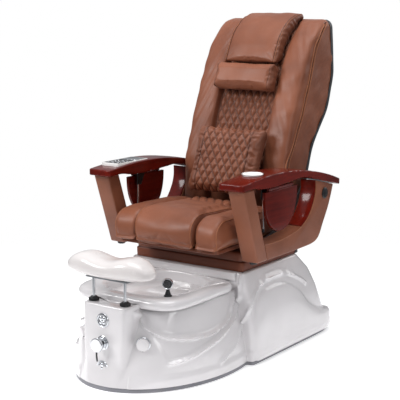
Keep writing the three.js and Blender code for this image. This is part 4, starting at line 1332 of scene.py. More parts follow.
@dataclass
class Footrest:
    """The moulded footrest on its two posts with knurled lock collars."""

    shop: Workshop
    half: float = 210.0
    depth: float = 75.0
    height: float = 86.0
    hump: float = 12.0
    hump_at: float = 130.0
    centre_y: float = -600.0
    bottom: float = 443.0

    def build(self) -> None:
        """Makes the pad, the posts and the collars."""
        along = np.sin(np.linspace(-math.pi / 2, math.pi / 2, 64))
        angle = np.linspace(0, 2 * math.pi, 56, endpoint=False)
        c, s = np.cos(angle), np.sin(angle)
        across, up = (np.sign(v) * np.abs(v) ** 0.75 for v in (c, s))
        rings = []
        for a in along:
            reach = 0.05 + 0.95 * math.sqrt(max(1 - abs(a) ** 3.2, 0))
            x = self.half * a
            hump = -self.hump * math.cos(min(abs(x), 190) / self.hump_at * math.pi)
            top = (self.height + hump) * (0.35 + 0.65 * reach)
            low = 26 * (1 - reach)
            middle, spread = (top + low) / 2, (top - low) / 2
            rings.append(np.column_stack([np.full(len(angle), x), self.centre_y + across * self.depth * reach,
                                          self.bottom + middle + up * spread]))
        pad = skin("footrest_cushion", np.array(rings), sharp=180)
        self.shop.settle(pad, "footrest", Slot.PAD, ("footrest_pad",), fill=1.0)
        black = self.shop.of[Slot.BLACK]
        for word, _ in SIDES:
            low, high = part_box(f"footrest_post_{word}")
            x, y = (low.x + high.x) / 2 / MM, (low.y + high.y) / 2 / MM
            z0, z1 = low.z / MM, high.z / MM
            rod = lathe(f"post_{word}", ((0, z0), (5.2, z0), (6.2, z0 + 1), (6.2, z1), (0, z1)), 32)
            self.shop.settle(stand(rod, (x, y, 0)), "footrest", Slot.CHROME, (f"footrest_post_{word}",))
            low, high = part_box(f"lock_collar_{word}")
            z0 = low.z / MM
            grip = lathe("grip", ((8.1, z0), (19.4, z0), (21.4, z0 + 1.5), (21.4, z0 + 11)), 96, 24, 0.07)
            crown = lathe("crown", ((21.4, z0 + 11), (18, z0 + 12), (15, z0 + 13.5), (13.4, z0 + 17),
                                    (11.6, z0 + 17.6), (8.1, z0 + 17.4)), 48)
            knob = merge(f"collar_{word}_grip", [self.shop.paint(p, black) for p in (grip, crown)])
            self.shop.settle(stand(knob, (x, y, 0)), f"collar_{word}", Slot.BLACK,
                             (f"lock_collar_{word}",), keep=True)


# ---------------------------------------------------------------- controls


@dataclass
class Controls:
    """The plated controls on the column and the two side dials."""

    shop: Workshop
    joints: Sequence[dict] = ()
    dial_axis: tuple[float, float, float] = (0.458538, -0.888675, 0.0)
    knob_ring: tuple = ((24.4, 0), (29.4, 0), (30, 1), (30, 5), (28.6, 6.8), (26, 7.2), (24.4, 6))

    def front(self, node: str) -> tuple[float, float, float]:
        """The middle of a node's rear face, in millimetres."""
        low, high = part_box(node)
        return ((low.x + high.x) / 2 / MM, high.y / MM, (low.z + high.z) / 2 / MM)

    def build(self) -> None:
        """Makes each control in place of its plain solid."""
        paint, of = self.shop.paint, self.shop.of
        chrome, black, ware = of[Slot.CHROME], of[Slot.BLACK], of[Slot.CERAMIC]
        way = (0, -1, 0)
        for name, node, handle, body, moving, lobes, turn in (
            ("diverter_ring", "diverter_rose", "diverter_handle", "diverter", "diverter_knob", 4, 45),
            ("air_ring", "air_button_bezel", "air_push", "air_button_body", "air_button", 3, 90),
        ):
            place = self.front(node)
            ring = stand(lathe(name, self.knob_ring, 64), place, way)
            self.shop.settle(ring, "base", Slot.CHROME, (node,))
            face = paint(lathe("face", ((0, 3), (22.6, 3), (23, 4), (22.4, 6.2), (20, 7), (0, 7))),
                         of[Slot.STRIP])
            parts = [stand(face, place, way)]
            for dx, dy in dots((11.5, lobes), turn=turn):
                petal = paint(lathe("petal", ((0, 10), (4.5, 9.8), (7, 9), (8.2, 7.6), (8.4, 6)), 32), chrome)
                parts.append(stand(stand(petal, (dx, dy, 0)), place, way))
            boss = paint(lathe("boss", ((0, 11.6), (3.4, 11.2), (5.4, 10), (6, 6)), 32), chrome)
            rim = paint(lathe("rim", ((20.2, 6.6), (20.6, 8), (22, 8.4), (23, 7.4), (23, 4)), 48), chrome)
            parts += [stand(boss, place, way), stand(rim, place, way)]
            self.shop.settle(merge(handle, parts), body, Slot.CHROME, (moving,), keep=True)
        place = self.front("mixer_rose")
        place = (place[0], float(through(Pedestal.column_front, place[2])) + 2.2, place[2])
        flange = ((0, 0), (29.6, 0), (30, 1), (29.4, 4.4), (26.6, 6.6), (23.4, 7), (0, 7))
        rose = stand(lathe("mixer_flange", flange, 64), place, way)
        self.shop.settle(rose, "base", Slot.CHROME, ("mixer_rose",))
        hub = [paint(lathe("hub", ((0, 7.4), (21.4, 7.4), (22, 8.2), (22, 16), (20.6, 17.4), (0, 17.6))),
                     chrome),
               paint(lathe("neck", ((0, 17), (13, 17), (12.4, 22), (8, 26.5), (0, 27))), black)]
        self.shop.settle(merge("mixer_body", [stand(p, place, way) for p in hub]), "mixer_turn", Slot.CHROME,
                         ("mixer_hub",), keep=True)
        cap = paint(lathe("cap", ((0, 33.6), (26, 33.6), (28.2, 35.4), (29, 38), (29, 42.6), (28, 44.8),
                                  (26, 45.8), (22.4, 45.2), (0, 45.6)), 64), chrome)
        disc = paint(lathe("disc", ((0, 46.1), (16, 46), (22.4, 45.8), (23, 45)), 64), ware)
        parts = [stand(cap, place, way), stand(disc, place, way)]
        low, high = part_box("mixer_lever")
        tip = np.array([(low.x + high.x) / 2 / MM, high.y / MM - 3.5, low.z / MM + 3])
        root = np.array([place[0], place[1] - 40, place[2] - 16])
        share = np.linspace(0, 1, 12)[:, None]
        bow = root + (tip - root) * share + np.array([0, -3, 0]) * np.sin(math.pi * share)
        parts.append(paint(tube("lever", bow, 3.6, 14), black))
        self.shop.settle(merge("mixer_handle", parts), "mixer_lift", Slot.CHROME, ("mixer_lever",), keep=True)
        for word, sign in SIDES:
            way = (sign * self.dial_axis[0], self.dial_axis[1], 0)
            turn = next(joint for joint in self.joints if joint["name"] == f"air_dial_{word}_turn")
            place = [v / MM for v in turn["pos_m"]]
            skirt = paint(lathe("skirt", ((0, -1.6), (29, -1.6), (29.5, 0), (29.4, 4.6), (27.6, 6.6),
                                          (0, 7)), 64), chrome)
            grip = paint(lathe("grip", ((0, 6.6), (25.6, 6.6), (25.4, 19), (24, 21.6), (21, 22.8), (0, 23)),
                               96, 24, 0.035), of[Slot.PEARL])
            mark = paint(board("mark", rounded_box(4, 11, 1.2, 20), -1.6, 1.6, 0.4), black)
            mark = stand(mark, (23.4, 0, 16))
            parts = [stand(p, place, way, roll=-60) for p in (skirt, grip, mark)]
            self.shop.settle(merge(f"air_dial_{word}_knob", parts), f"air_dial_{word}", Slot.CHROME,
                             (f"air_knob_{word}",), keep=True)


# ---------------------------------------------------------------- seat


@dataclass
class Seat:
    """The leather-wrapped plinth and the cushion: a middle panel between two side bolsters."""

    shop: Workshop
    plinth_half: float = 285.0
    plinth_front: float = -83.0
    plinth_back: float = 372.0
    plinth_low: float = 395.5
    half: float = 268.0
    groove: float = 151.0
    middle_line: tuple = ((203, 509), (210, 560), (203, 624), (150, 636), (0, 646), (-150, 650), (-216, 640),
                          (-256, 606), (-265, 560), (-254, 522), (-226, 509))
    side_line: tuple = ((203, 509), (208, 560), (203, 620), (150, 632), (0, 639), (-150, 641), (-208, 632),
                        (-245, 600), (-254, 560), (-245, 522), (-222, 508))

    def build(self) -> None:
        """Makes the plinth, the three cushion parts and their welts."""
        self.plinth()
        outline = smooth_line(self.middle_line, 190, closed=True)
        middle = cushion("seat_middle", outline, -self.groove + 1, self.groove - 1, 13, 2, scaled=True)
        swell(middle, 3.0, 9, 6.5)
        refine(middle)
        shape = Surface(middle)
        x, y, z = shape.points.T
        full, seam = quilt(x, y, 42, 66)
        part = step_up(20, 60, y) * step_up(148, 132, np.abs(x)) * (shape.normals[:, 2] > 0.4)
        front = bump(y + 214, 90) * bump(x, 120)
        shape.push(part * (6.0 * full - 4.0) + 4 * front + 0.9 * ripple(shape.points, 90, 3))
        # painted shade in the quilting seams and towards the grooves by the bolsters
        shape.mark(0.7 * part * seam + 0.4 * step_up(138, 150, np.abs(x)))
        self.shop.settle(middle, "seat", Slot.LEATHER, ("seat_cushion",), fill=0.85)
        for word, sign in SIDES:
            line = smooth_line(self.side_line, 190, closed=True)
            x0, x1 = sorted((sign * (self.groove + 1), sign * (self.half - 1)))
            bolster = cushion(f"seat_bolster_{word}", line, x0, x1, 22, 2, scaled=True)
            swell(bolster, 3.0, 8, 6.5)
            refine(bolster)
            shape = Surface(bolster)
            inner = step_up(self.groove + 16, self.groove, np.abs(shape.points[:, 0]))
            shape.push(0.9 * ripple(shape.points, 80, 5))
            # painted shade along the bolster's edge by the groove
            shape.mark(0.7 * inner)
            self.shop.settle(bolster, "seat", Slot.LEATHER, ("seat_cushion",), fill=0.9)
            inset = line - outward(line) * 7
            loop = np.column_stack([np.full(len(inset), sign * (self.half - 4)), inset])
            loop = np.vstack([loop, loop[:1]])
            welt = tube(f"bolster_welt_{word}", snap(bolster, loop, 0.8), 2.3)
            self.shop.settle(welt, "seat", Slot.LEATHER, material=self.shop.welt)
            inset = outline - outward(outline) * 3
            loop = np.column_stack([np.full(len(inset), sign * (self.groove - 8)), inset])[20:]
            welt = tube(f"middle_welt_{word}", snap(middle, loop, 0.6), 1.8)
            self.shop.settle(welt, "seat", Slot.LEATHER, material=self.shop.welt)

    def plinth(self) -> None:
        """Makes the plinth's cover in the darker leather copy as painted shade, with its stepped front, and a
        black plate at its rear corner as painted shadow.
        """
        middle = (self.plinth_front + self.plinth_back) / 2
        deep = self.plinth_back - self.plinth_front
        rings = []
        rows = ((0, 3), (2, 1), (6, 0.6), (36, 0.2), (39, 1.0), (41.5, 4.6), (43.5, 5.6), (46, 5.0),
                (49, 4.4), (70, 4.2), (77, 5.2), (80.5, 8), (82, 13))
        for rise, inset in rows:
            flat = rounded_box(2 * (self.plinth_half - inset), deep - 2 * inset, 16, 240) + [0, middle]
            rings.append(np.column_stack([flat, np.full(len(flat), self.plinth_low + rise)]))
        cover = skin("plinth_cover", np.array(rings), caps=(False, True), sharp=60)
        shape = Surface(cover)
        shape.push(0.5 * ripple(shape.points, 70, 11))
        # painted shade: a dark line in the step of the front, and the darker leather copy over the whole cover
        shape.mark(0.8 * bump(shape.points[:, 2] - self.plinth_low - 42.5, 2.6))
        self.shop.settle(cover, "base", Slot.LEATHER, ("seat_plinth",), material=self.shop.deep)
        rings = []
        for z, inset in ((492.4, 3), (494, 0), (508, 0), (510, 3)):
            flat = rounded_box(508 - 2 * inset, 436 - 2 * inset, 22, 160) + [0, -14]
            rings.append(np.column_stack([flat, np.full(len(flat), z)]))
        skirt = skin("seat_skirt", np.array(rings), sharp=60)
        # painted shade: the skirt under the cushion takes the darker leather copy
        self.shop.settle(skirt, "seat", Slot.LEATHER, material=self.shop.deep)
        # painted shadow: a black plate where the plinth's rear corner lies in shade
        back = self.plinth_back
        outline = np.array([[back - 22, 396.5], [back + 3, 396.5], [back + 3, 444], [back - 6, 470]])
        plate = board("plinth_rear_shadow_plate", outline, -self.plinth_half - 2, self.plinth_half + 2, 2.5)
        self.shop.settle(plate, "base", Slot.BLACK)


# ---------------------------------------------------------------- backrest


@dataclass
class Backrest:
    """The leather back with its side wings, quilted middle, pillows, welts and charcoal rear shell."""

    shop: Workshop
    half: float = 272.0
    recess: float = 38.0
    top: float = 1430.0
    corner: float = 34.0
    front_line: tuple = ((545, 276), (640, 268), (713, 270), (792, 274), (852, 287), (931, 311), (1002, 335),
                         (1117, 384), (1211, 425), (1303, 478), (1366, 533), (1405, 582), (1419, 604),
                         (1427, 628), (1430, 646))
    rear_line: tuple = ((545, 408), (620, 432), (763, 472), (872, 516), (950, 578), (1017, 634), (1110, 670),
                        (1184, 691), (1250, 688), (1387, 674), (1430, 668))
    seam_line: tuple = ((545, 300), (700, 296), (800, 302), (911, 363), (1030, 424), (1208, 497), (1330, 548),
                        (1380, 590), (1420, 636))
    wing: tuple = ((143, 39), (146.5, 36), (149, 29), (150.5, 19), (153, 9.5), (159, 3), (170, -1),
                   (190, -3.5), (215, -4), (238, -2.5), (254, 1.5), (264, 8), (270, 17), (272, 28))

    def front(self, z: np.ndarray | float) -> np.ndarray:
        """Where the wings' front lies at a height."""
        return through(self.front_line, z)

    def rear(self, z: np.ndarray | float) -> np.ndarray:
        """Where the back's rear face lies at a height."""
        return through(self.rear_line, z)

    def shoulder(self, z: float) -> float:
        """How far the rounded top corners draw in at a height."""
        return round_off(self.top - z, self.corner)

    def build(self) -> None:
        """Makes the cover, the welts, the rear shell, the head pad and both pillows."""
        self.cover()
        self.shell()
        self.head_pad()
        self.neck_pillow()
        self.lumbar_pillow()

    def cover(self) -> None:
        """Makes the upholstered back with its quilted middle."""
        heights = np.concatenate([np.linspace(545, 1395, 230), np.linspace(1398, self.top, 16)])
        middle = np.linspace(0, 141, 50)
        wing = smooth_line(self.wing, 40)
        rings = []
        for z in heights:
            front, rear = float(self.front(z)), float(self.rear(z))
            deep = min(self.recess, rear - front - 12)
            inner = np.column_stack([middle, np.full(len(middle), front + deep)])
            side = wing.copy()
            side[:, 1] = front + side[:, 1] * min(1, deep / self.recess)
            share = np.linspace(0, 1, 58)[1:]
            start = side[-1, 1]
            panel = np.column_stack([np.full(len(share), self.half) + 1.5 * np.sin(math.pi * share),
                                     start + (rear - 5 - start) * share])
            back = np.array([[self.half - 2, rear - 1.5], [self.half - 8, rear], [180, rear], [90, rear],
                             [0, rear]])
            one = np.vstack([inner, side, panel, back]) * [1 - self.shoulder(z) / self.half, 1]
            other = one[-2:0:-1] * [-1, 1]
            rings.append(np.column_stack([np.vstack([one, other]), np.full(len(one) + len(other), z)]))
        back = skin("back_upholstery", np.array(rings), sharp=180)
        shape = Surface(back)
        x, y, z = shape.points.T
        full, seam = quilt(x, z)
        forward = shape.normals[:, 1] < -0.3
        part = step_up(146, 136, np.abs(x)) * forward * step_up(700, 720, z)
        groove = bump(y - through(self.seam_line, z), 5.5) * (np.abs(x) > self.half - 8)
        wings = step_up(150, 175, np.abs(x)) * (1 - groove)
        drag = ripple(np.column_stack([x * 1.4, y, z * 0.8 + np.abs(x) * 0.9]), 55, 21) * wings
        depth = part * (9.0 * full - 4.5) - 11.0 * groove + 1.1 * drag
        depth += 1.2 * ripple(shape.points, 160, 22) * wings
        shape.push(depth)
        # painted shade in the quilting seams, the side grooves and where the wings meet the middle
        shape.mark(np.maximum.reduce([0.8 * part * seam, 1.0 * groove, 0.55 * bump(np.abs(x) - 146, 4)]))
        self.shop.settle(back, "backrest", Slot.LEATHER, ("back_cushion",), fill=0.9)
        at = np.linspace(560, 1412, 130)
        for word, sign in SIDES:
            for name, offset, radius in (("front", -9.5, 3.2), ("rear", 9.5, 3.2)):
                path = np.column_stack([np.full(len(at), sign * (self.half + 2)),
                                        through(self.seam_line, at) + offset, at])
                welt = tube(f"back_welt_{name}_{word}", snap(back, path, 0.9), radius)
                self.shop.settle(welt, "backrest", Slot.LEATHER, material=self.shop.welt)

    def shell(self) -> None:
        """Makes the moulded rear shell, its edge rolled forward a little."""
        heights = np.linspace(546, 1429, 120)
        x = np.concatenate([[-274.8, -274.8, -272, -266], np.linspace(-260, 260, 41),
                            [266, 272, 274.8, 274.8]])
        lip = np.concatenate([[-12, 8.5, 13, 15], np.full(41, 15), [15, 13, 8.5, -12]])
        hollow = np.array([[273.4, -12], *([v, 0.6] for v in (273.4, 180, 90, 0, -90, -180, -273.4)),
                           [-273.4, -12]])
        rings = []
        for z in heights:
            rear = float(self.rear(z))
            inside = float(step_up(640, 700, np.array(z)) * step_up(1340, 1280, np.array(z)))
            rib = 1.2 * (np.cos(x / 100 * math.pi) - 1) * inside * (np.abs(x) < 201)
            outer = np.column_stack([x, np.minimum(lip + rib, 15)])
            flat = np.vstack([outer, hollow]) * [1 - self.shoulder(z) / self.half, 1] + [0, rear]
            rings.append(np.column_stack([flat, np.full(len(flat), z)]))
        shell = skin("rear_shell", np.array(rings), sharp=50)
        self.shop.settle(shell, "backrest", Slot.CHARCOAL, ("back_shell",))

    def head_pad(self) -> None:
        """Makes the head pad, which wraps over the top of the back."""
        top = ((404, 1240), (426, 1294), (454, 1345), (497, 1394), (560, 1432), (628, 1451), (660, 1453))
        under = [(667, 1436), (662, 1420), (640, 1419)] + [
            (float(self.front(z)) + self.recess - 7, z) for z in (1395, 1350, 1300, 1246)]
        outline = resample(np.vstack([smooth_line(top, 60), under]), 170, closed=True)
        pad = cushion("head_cushion", outline, -139, 139, 13, 1.5)
        swell(pad, 2.0, 7, 5.0)
        refine(pad)
        shape = Surface(pad)
        x, y, z = shape.points.T
        side = step_up(118, 130, np.abs(x))
        folds = np.sin((z * 0.9 + y * 0.45) / 5.2 + 1.6 * ripple(shape.points, 60, 31))
        seam = bump(np.abs(x) - 126, 2.2)
        depth = 1.1 * side * folds * bump(np.abs(x) - 134, 12) - 2.2 * seam
        shape.push(depth + 1.0 * ripple(shape.points, 95, 32))
        # painted shade in the side seams and over the pad's sides
        shape.mark(0.75 * seam + 0.35 * side)
        self.shop.settle(pad, "backrest", Slot.LEATHER, ("head_pad",), fill=0.85)
        line = smooth_line(top, 60)
        for word, sign in SIDES:
            path = np.column_stack([np.full(len(line), sign * 129.5), line])
            welt = tube(f"head_welt_{word}", snap(pad, path, 0.7), 1.7)
            self.shop.settle(welt, "backrest", Slot.LEATHER, material=self.shop.welt)

    def tilt(self, piece: bpy.types.Object, node: str, degrees: float) -> None:
        """Leans a piece made about the origin back, and puts it where a node is."""
        low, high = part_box(node)
        middle = (low + high) / 2
        piece.data.transform(Matrix.Translation(middle) @ Matrix.Rotation(-math.radians(degrees), 4, "X"))

    def neck_pillow(self) -> None:
        """Makes the boxed neck pillow with gathered ends."""
        outline = rounded_box(66, 120, 17, 92)
        pillow = cushion("neck_bolster", outline, -150, 150, 6, 1.0, 5.0, scaled=True)
        swell(pillow, 3.0, 6, 4.5)
        refine(pillow)
        shape = Surface(pillow)
        x, y, z = shape.points.T
        waist = 1 - 0.03 * np.cos(np.clip(x / 146, -1, 1) * math.pi / 2)
        shape.points[:, 2] = z * waist
        shape.write()
        shape = Surface(pillow)
        x, y, z = shape.points.T
        end = step_up(136, 146, np.abs(x))
        folds = np.sin(z / 4.6 + 1.8 * ripple(shape.points, 50, 41)) * bump(np.abs(x) - 146, 14)
        seam = bump(np.abs(x) - 139, 2.0) * (y < 12)
        shape.push(1.2 * folds * (y < 26) - 1.6 * seam + 0.8 * ripple(shape.points, 85, 42))
        # painted shade in the end seams and over the gathered ends
        shape.mark(0.5 * seam + 0.4 * end)
        self.tilt(pillow, "neck_pillow", 23)
        self.shop.settle(pillow, "backrest", Slot.LEATHER, ("neck_pillow",), fill=0.9)

    def lumbar_pillow(self) -> None:
        """Makes the lumbar pillow: a quilted middle between two gathered side panels."""
        outline = rounded_box(80, 316, 34, 160)
        pillow = cushion("lumbar_cushion", outline, -183, 183, 26, 2.0, 5.5, scaled=True)
        shape = Surface(pillow)
        x, y, z = shape.points.T
        far = np.abs(x) / 183
        high = np.abs(z) / 158
        shape.points[:, 1] = y * (1 - 0.34 * far**3) * (1 - 0.2 * high**3)
        shape.points[:, 0] = x * (1 - 0.045 * (1 - high**2))
        shape.points[:, 2] = z * (1 - 0.03 * (1 - far**2))
        shape.write()
        swell(pillow, 4.0, 8, 5.0)
        refine(pillow)
        shape = Surface(pillow)
        x, y, z = shape.points.T
        full, seam = quilt(x, z, 38, 62)
        forward = step_up(0.1, -0.2, shape.normals[:, 1])
        part = step_up(124, 118, np.abs(x)) * forward * step_up(160, 150, np.abs(z))
        line = bump(np.abs(x) - 124, 2.6) * step_up(0.5, 0.1, shape.normals[:, 1])
        reach = bump(np.abs(x) - 128, 26) * (np.abs(x) > 124)
        folds = np.sin(z / 5.4 + 2.2 * ripple(shape.points, 60, 51)) * reach
        shape.push(part * (8.5 * full - 4.2) - 4.2 * line + 2.2 * folds + 1.4 * ripple(shape.points, 110, 52))
        ends = step_up(150, 178, np.abs(x))
        # painted shade in the quilting and side seams, the gathers and towards the ends
        shape.mark(np.maximum.reduce([0.8 * part * seam, line, 0.4 * reach, 0.45 * ends]))
        self.tilt(pillow, "lumbar_pillow", 21)
        self.shop.settle(pillow, "backrest", Slot.LEATHER, ("lumbar_pillow",), fill=0.8)


# ---------------------------------------------------------------- arms


@dataclass
class Arm:
    """One arm: leather post and quarter, lacquered top, fold-out tray and its bracket."""

    shop: Workshop
    word: str
    sign: float
    inner: float = 310.0
    outer: float = 390.0
    pivot: tuple[float, float] = (426.0, 673.0)
    top_line: tuple = ((-262, 799), (-200, 805), (-126, 812), (-60, 816), (11, 817), (117, 813), (234, 800),
                       (370, 775), (476, 748), (557, 722))
    under_line: tuple = ((-262, 773), (-160, 774), (-120, 767), (-37, 762), (43, 764), (138, 768), (235, 771),
                         (350, 745), (476, 716), (557, 696))
    quarter_outer: tuple = ((-44, 456), (100, 456), (230, 457), (320, 460), (364, 471), (392, 494),
                            (416, 533), (462, 602), (492, 664), (507, 703))
    quarter_inner: tuple = ((350, 740), (349, 690), (330, 640), (290, 588), (228, 552), (150, 534),
                            (60, 524), (-14, 523), (-62, 526))
    quarter_middle: tuple[float, float] = (60.0, 760.0)
    # The wooden top: its front end, its length, its outer edge, and the rounding of its ends.
    rail_front: float = -262.0
    rail_length: float = 819.0
    rail_outer: float = 400.0
    rail_inner: tuple = ((-262, 280), (180, 280), (280, 290), (557, 290))
    rail_corner: float = 15.0
    rail_lip: float = 3.5

    @property
    def body(self) -> str:
        """The body that the arm rides on."""
        return f"arm_{self.word}"

    def build(self) -> None:
        """Makes the arm."""
        x0, x1 = sorted((self.sign * self.inner, self.sign * self.outer))
        outline = np.array([[-127, 456], [-49.5, 456], [-160.5, 771], [-237, 770]])
        post = board(f"post_cover_{self.word}", outline, x0, x1, 7, 4)
        self.shop.settle(post, self.body, Slot.LEATHER, (f"arm_post_{self.word}",))
        outline = np.vstack([[[-49, 456.5]], smooth_line(self.quarter_outer, 54),
                             smooth_line(self.quarter_inner, 54), [[-73.5, 527]]])
        quarter = board(f"quarter_cover_{self.word}", outline, x0, x1, 6, 4)
        self.shop.settle(quarter, self.body, Slot.LEATHER, (f"arm_quarter_{self.word}",))
        self.welts()
        self.reflection_strip()
        self.top()
        self.tray()
        self.trim()

    def welts(self) -> None:
        """Makes the fine welts along the quarter's inner curve."""
        curve = smooth_line(self.quarter_inner, 70)[2:-2]
        away = curve - np.array(self.quarter_middle)
        curve = curve + away / np.linalg.norm(away, axis=1, keepdims=True) * 1.2
        for name, x in (("outer", self.outer - 2.2), ("inner", self.inner + 2.2)):
            path = np.column_stack([np.full(len(curve), self.sign * x), curve])
            welt = tube(f"quarter_welt_{name}_{self.word}", path, 1.7)
            self.shop.settle(welt, self.body, Slot.LEATHER, material=self.shop.welt)

    def reflection_strip(self) -> None:
        """Makes a lacquered strip over the quarter's inner curve under the top: painted reflection of the red
        wood on the shaded leather there.
        """
        curve = smooth_line(self.quarter_inner, 90)
        curve = curve[curve[:, 0] > 226]
        away = curve - np.array(self.quarter_middle)
        raised = curve - away / np.linalg.norm(away, axis=1, keepdims=True) * 5
        x0, x1 = sorted((self.sign * (self.inner + 4), self.sign * (self.outer - 4)))
        strip = board(f"quarter_red_reflection_{self.word}", np.vstack([curve, raised[::-1]]), x0, x1, 1.4)
        # painted reflection: red lacquer over leather that lies in shade
        self.shop.settle(strip, self.body, Slot.WOOD)

    def top(self) -> None:
        """Makes the lacquered top by sections along its length, and cuts its pocket."""
        near = np.array([0, 1, 2.5, 5, 8, 12, 17, 24])
        reach = np.concatenate([near, np.linspace(34, self.rail_length - 34, 100),
                                self.rail_length - near[::-1]])
        rings = []
        for d in reach:
            y = self.rail_front + d
            end = min(d, self.rail_length - d)
            inner = float(np.interp(y, *zip(*self.rail_inner)))
            top = float(through(self.top_line, y))
            low = float(through(self.under_line, y))
            wide = self.rail_outer - inner - 2 * round_off(end, self.rail_corner)
            tall = top - low - 2 * round_off(end, self.rail_lip)
            flat = rounded_box(wide, tall, min(4.2, tall / 2 - 0.5), 72)
            crown = 1.6 * np.cos(np.clip(flat[:, 0] / (wide / 2), -1, 1) * math.pi / 2)
            flat[:, 1] += np.where(flat[:, 1] > 0, crown, 0)
            x = self.sign * ((self.rail_outer + inner) / 2 + flat[:, 0])
            rings.append(np.column_stack([x, np.full(len(x), y), (top + low) / 2 - 0.8 + flat[:, 1]]))
        top = skin(f"arm_rail_{self.word}", np.array(rings), sharp=60)
        if self.sign > 0:
            tool = stand(lathe("tool", ((0, 797.5), (43.4, 797.5), (43.4, 840), (0, 840)), 72), (330, -80, 0))
        else:
            pocket = rounded_box(93, 221, 8, 60) - [341, 79]
            rings = [np.column_stack([pocket, np.full(len(pocket), z)]) for z in (806, 840)]
            tool = skin("tool", np.array(rings))
        carve(top, tool)
        self.shop.settle(top, self.body, Slot.WOOD, (f"arm_top_{self.word}",))

    def tray(self) -> None:
        """Makes the fold-out tray leaf with its hinge barrel."""
        angle = np.linspace(math.pi, 2 * math.pi, 48)
        c, s = np.cos(angle), np.sin(angle)
        leaf = np.column_stack([92 + 132 * np.sign(c) * np.abs(c) ** 0.9, 737 - 180 * np.abs(s) ** 0.9])
        x0, x1 = sorted((self.sign * 352.2, self.sign * 367.8))
        panel = board("leaf", leaf, x0, x1, 3.2, 4)
        barrel = lathe("barrel", ((0, -100), (6, -100), (7, -99), (7, 99), (6, 100), (0, 100)), 32)
        barrel = stand(barrel, (self.sign * 360, 92, 745), (0, 1, 0))
        strip = board("strip", rounded_box(180, 11, 2, 40) + [92, 738.5], self.sign * 354, self.sign * 366,
                      1.5)
        wood = self.shop.of[Slot.WOOD]
        parts = [self.shop.paint(part, wood) for part in (panel, barrel, strip)]
        self.shop.settle(merge(f"tray_leaf_{self.word}_panel", parts), f"tray_leaf_{self.word}", Slot.WOOD,
                         (f"tray_{self.word}",), keep=True)

    def trim(self) -> None:
        """Makes the pivot cap, the rubber buffers and the tray's bracket."""
        black, chrome = self.shop.of[Slot.BLACK], self.shop.of[Slot.CHROME]
        profile = ((0, 0), (24.6, 0), (25, 0.8), (24.8, 2.4), (22.4, 4.4), (20, 5.2), (18.8, 4.4), (16.5, 4.6),
                   (12, 5.8), (0, 6.6))
        cap = lathe(f"pivot_cap_{self.word}", profile, 56)
        self.shop.settle(stand(cap, (self.sign * 390.3, *self.pivot), (self.sign, 0, 0)), self.body,
                         Slot.BLACK, (f"arm_pivot_cap_{self.word}",))
        buffers = []
        for y, z in ((238, 457.0), (-100, 455.6)):
            foot = lathe("foot", ((0, 0), (17, 0), (18, 1.5), (18, 6), (15.5, 10), (0, 11)), 40)
            buffers.append(self.shop.paint(stand(foot, (self.sign * 350, y, z), (0, 0, -1)), black))
        self.shop.settle(merge(f"buffers_{self.word}", buffers), self.body, Slot.BLACK, keep=True)
        low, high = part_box(f"tray_bracket_{self.word}")
        near, far = sorted((abs(low.x) / MM, abs(high.x) / MM))
        web = board("web", np.array([[-10, 757.5], [50, 757.5], [20, 700], [-10, 700]]),
                    self.sign * (near + 0.4), self.sign * (near + 5.6), 1.6)
        lug = board("lug", rounded_box(56, 6.6, 1.5, 24) + [20, 753.6], self.sign * near, self.sign * far,
                    1.2)
        x, y = self.sign * 333, 2
        strut = tube("strut", np.array([[x, y, z] for z in (560.5, 562, 600, 650, 700, 704.5)]), 4.9, 20)
        tip = lathe("tip", ((0, 560), (5.6, 560), (6.2, 561.5), (6.2, 572), (5, 575)), 32)
        tip = stand(tip, (x, y, 0))
        parts = [self.shop.paint(p, m) for p, m in ((web, black), (lug, black), (strut, chrome), (tip, black))]
        self.shop.settle(merge(f"tray_stay_{self.word}", parts), self.body, Slot.BLACK,
                         (f"tray_bracket_{self.word}",), keep=True)


@dataclass
class Inserts:
    """The manicure bowl in one arm and the handset in the other."""

    shop: Workshop

    def build(self) -> None:
        """Makes both inserts."""
        profile = ((0, 797.4), (30, 797.4), (37, 802), (41, 809), (42.4, 816.4), (44.6, 817.6), (45.2, 819.4),
                   (44, 821), (41.4, 820.6), (38.6, 817), (35, 809), (28, 803.6), (16, 801.4), (0, 801))
        bowl = lathe("nail_bowl", profile, 72)
        self.shop.settle(stand(bowl, (330, -80, 0)), "bowl", Slot.CERAMIC, ("manicure_bowl",))
        paint, chrome, ware = self.shop.paint, self.shop.of[Slot.CHROME], self.shop.of[Slot.CERAMIC]
        low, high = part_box("handset")
        x, y = (low.x + high.x) / 2 / MM, (low.y + high.y) / 2 / MM
        z0, z1 = low.z / MM, high.z / MM

        def tile(wide: float, long: float, radius: float, bottom: float, top: float, dx: float, dy: float):
            """A small flat tile with rounded edges."""
            flat = rounded_box(wide, long, radius, 64)
            out = outward(flat)
            rows = ((bottom, 0), (top - 1, 0), (top - 0.3, 0.4), (top, 1.2))
            rings = [np.column_stack([flat - out * inset + [x + dx, y + dy], np.full(len(flat), z)])
                     for z, inset in rows]
            return skin("tile", np.array(rings), sharp=50)

        parts = [paint(tile(92, 220, 8, z0, z1 - 1.6, 0, 0), ware),
                 paint(tile(80, 118, 5, z0 + 2, z1 - 0.4, 0, -40), self.shop.panel),
                 paint(tile(80, 66, 5, z0 + 2, z1 - 0.6, 0, 62), chrome)]
        for row in range(4):
            for column in range(3):
                key = tile(17, 14, 3, z1 - 2, z1 + 0.6, -24 + 24 * column, -82 + 22 * row)
                parts.append(paint(key, chrome))
        self.shop.settle(merge("key_handset", parts), "remote", Slot.BLACK, ("handset",), keep=True)


# ---------------------------------------------------------------- hidden works, studio


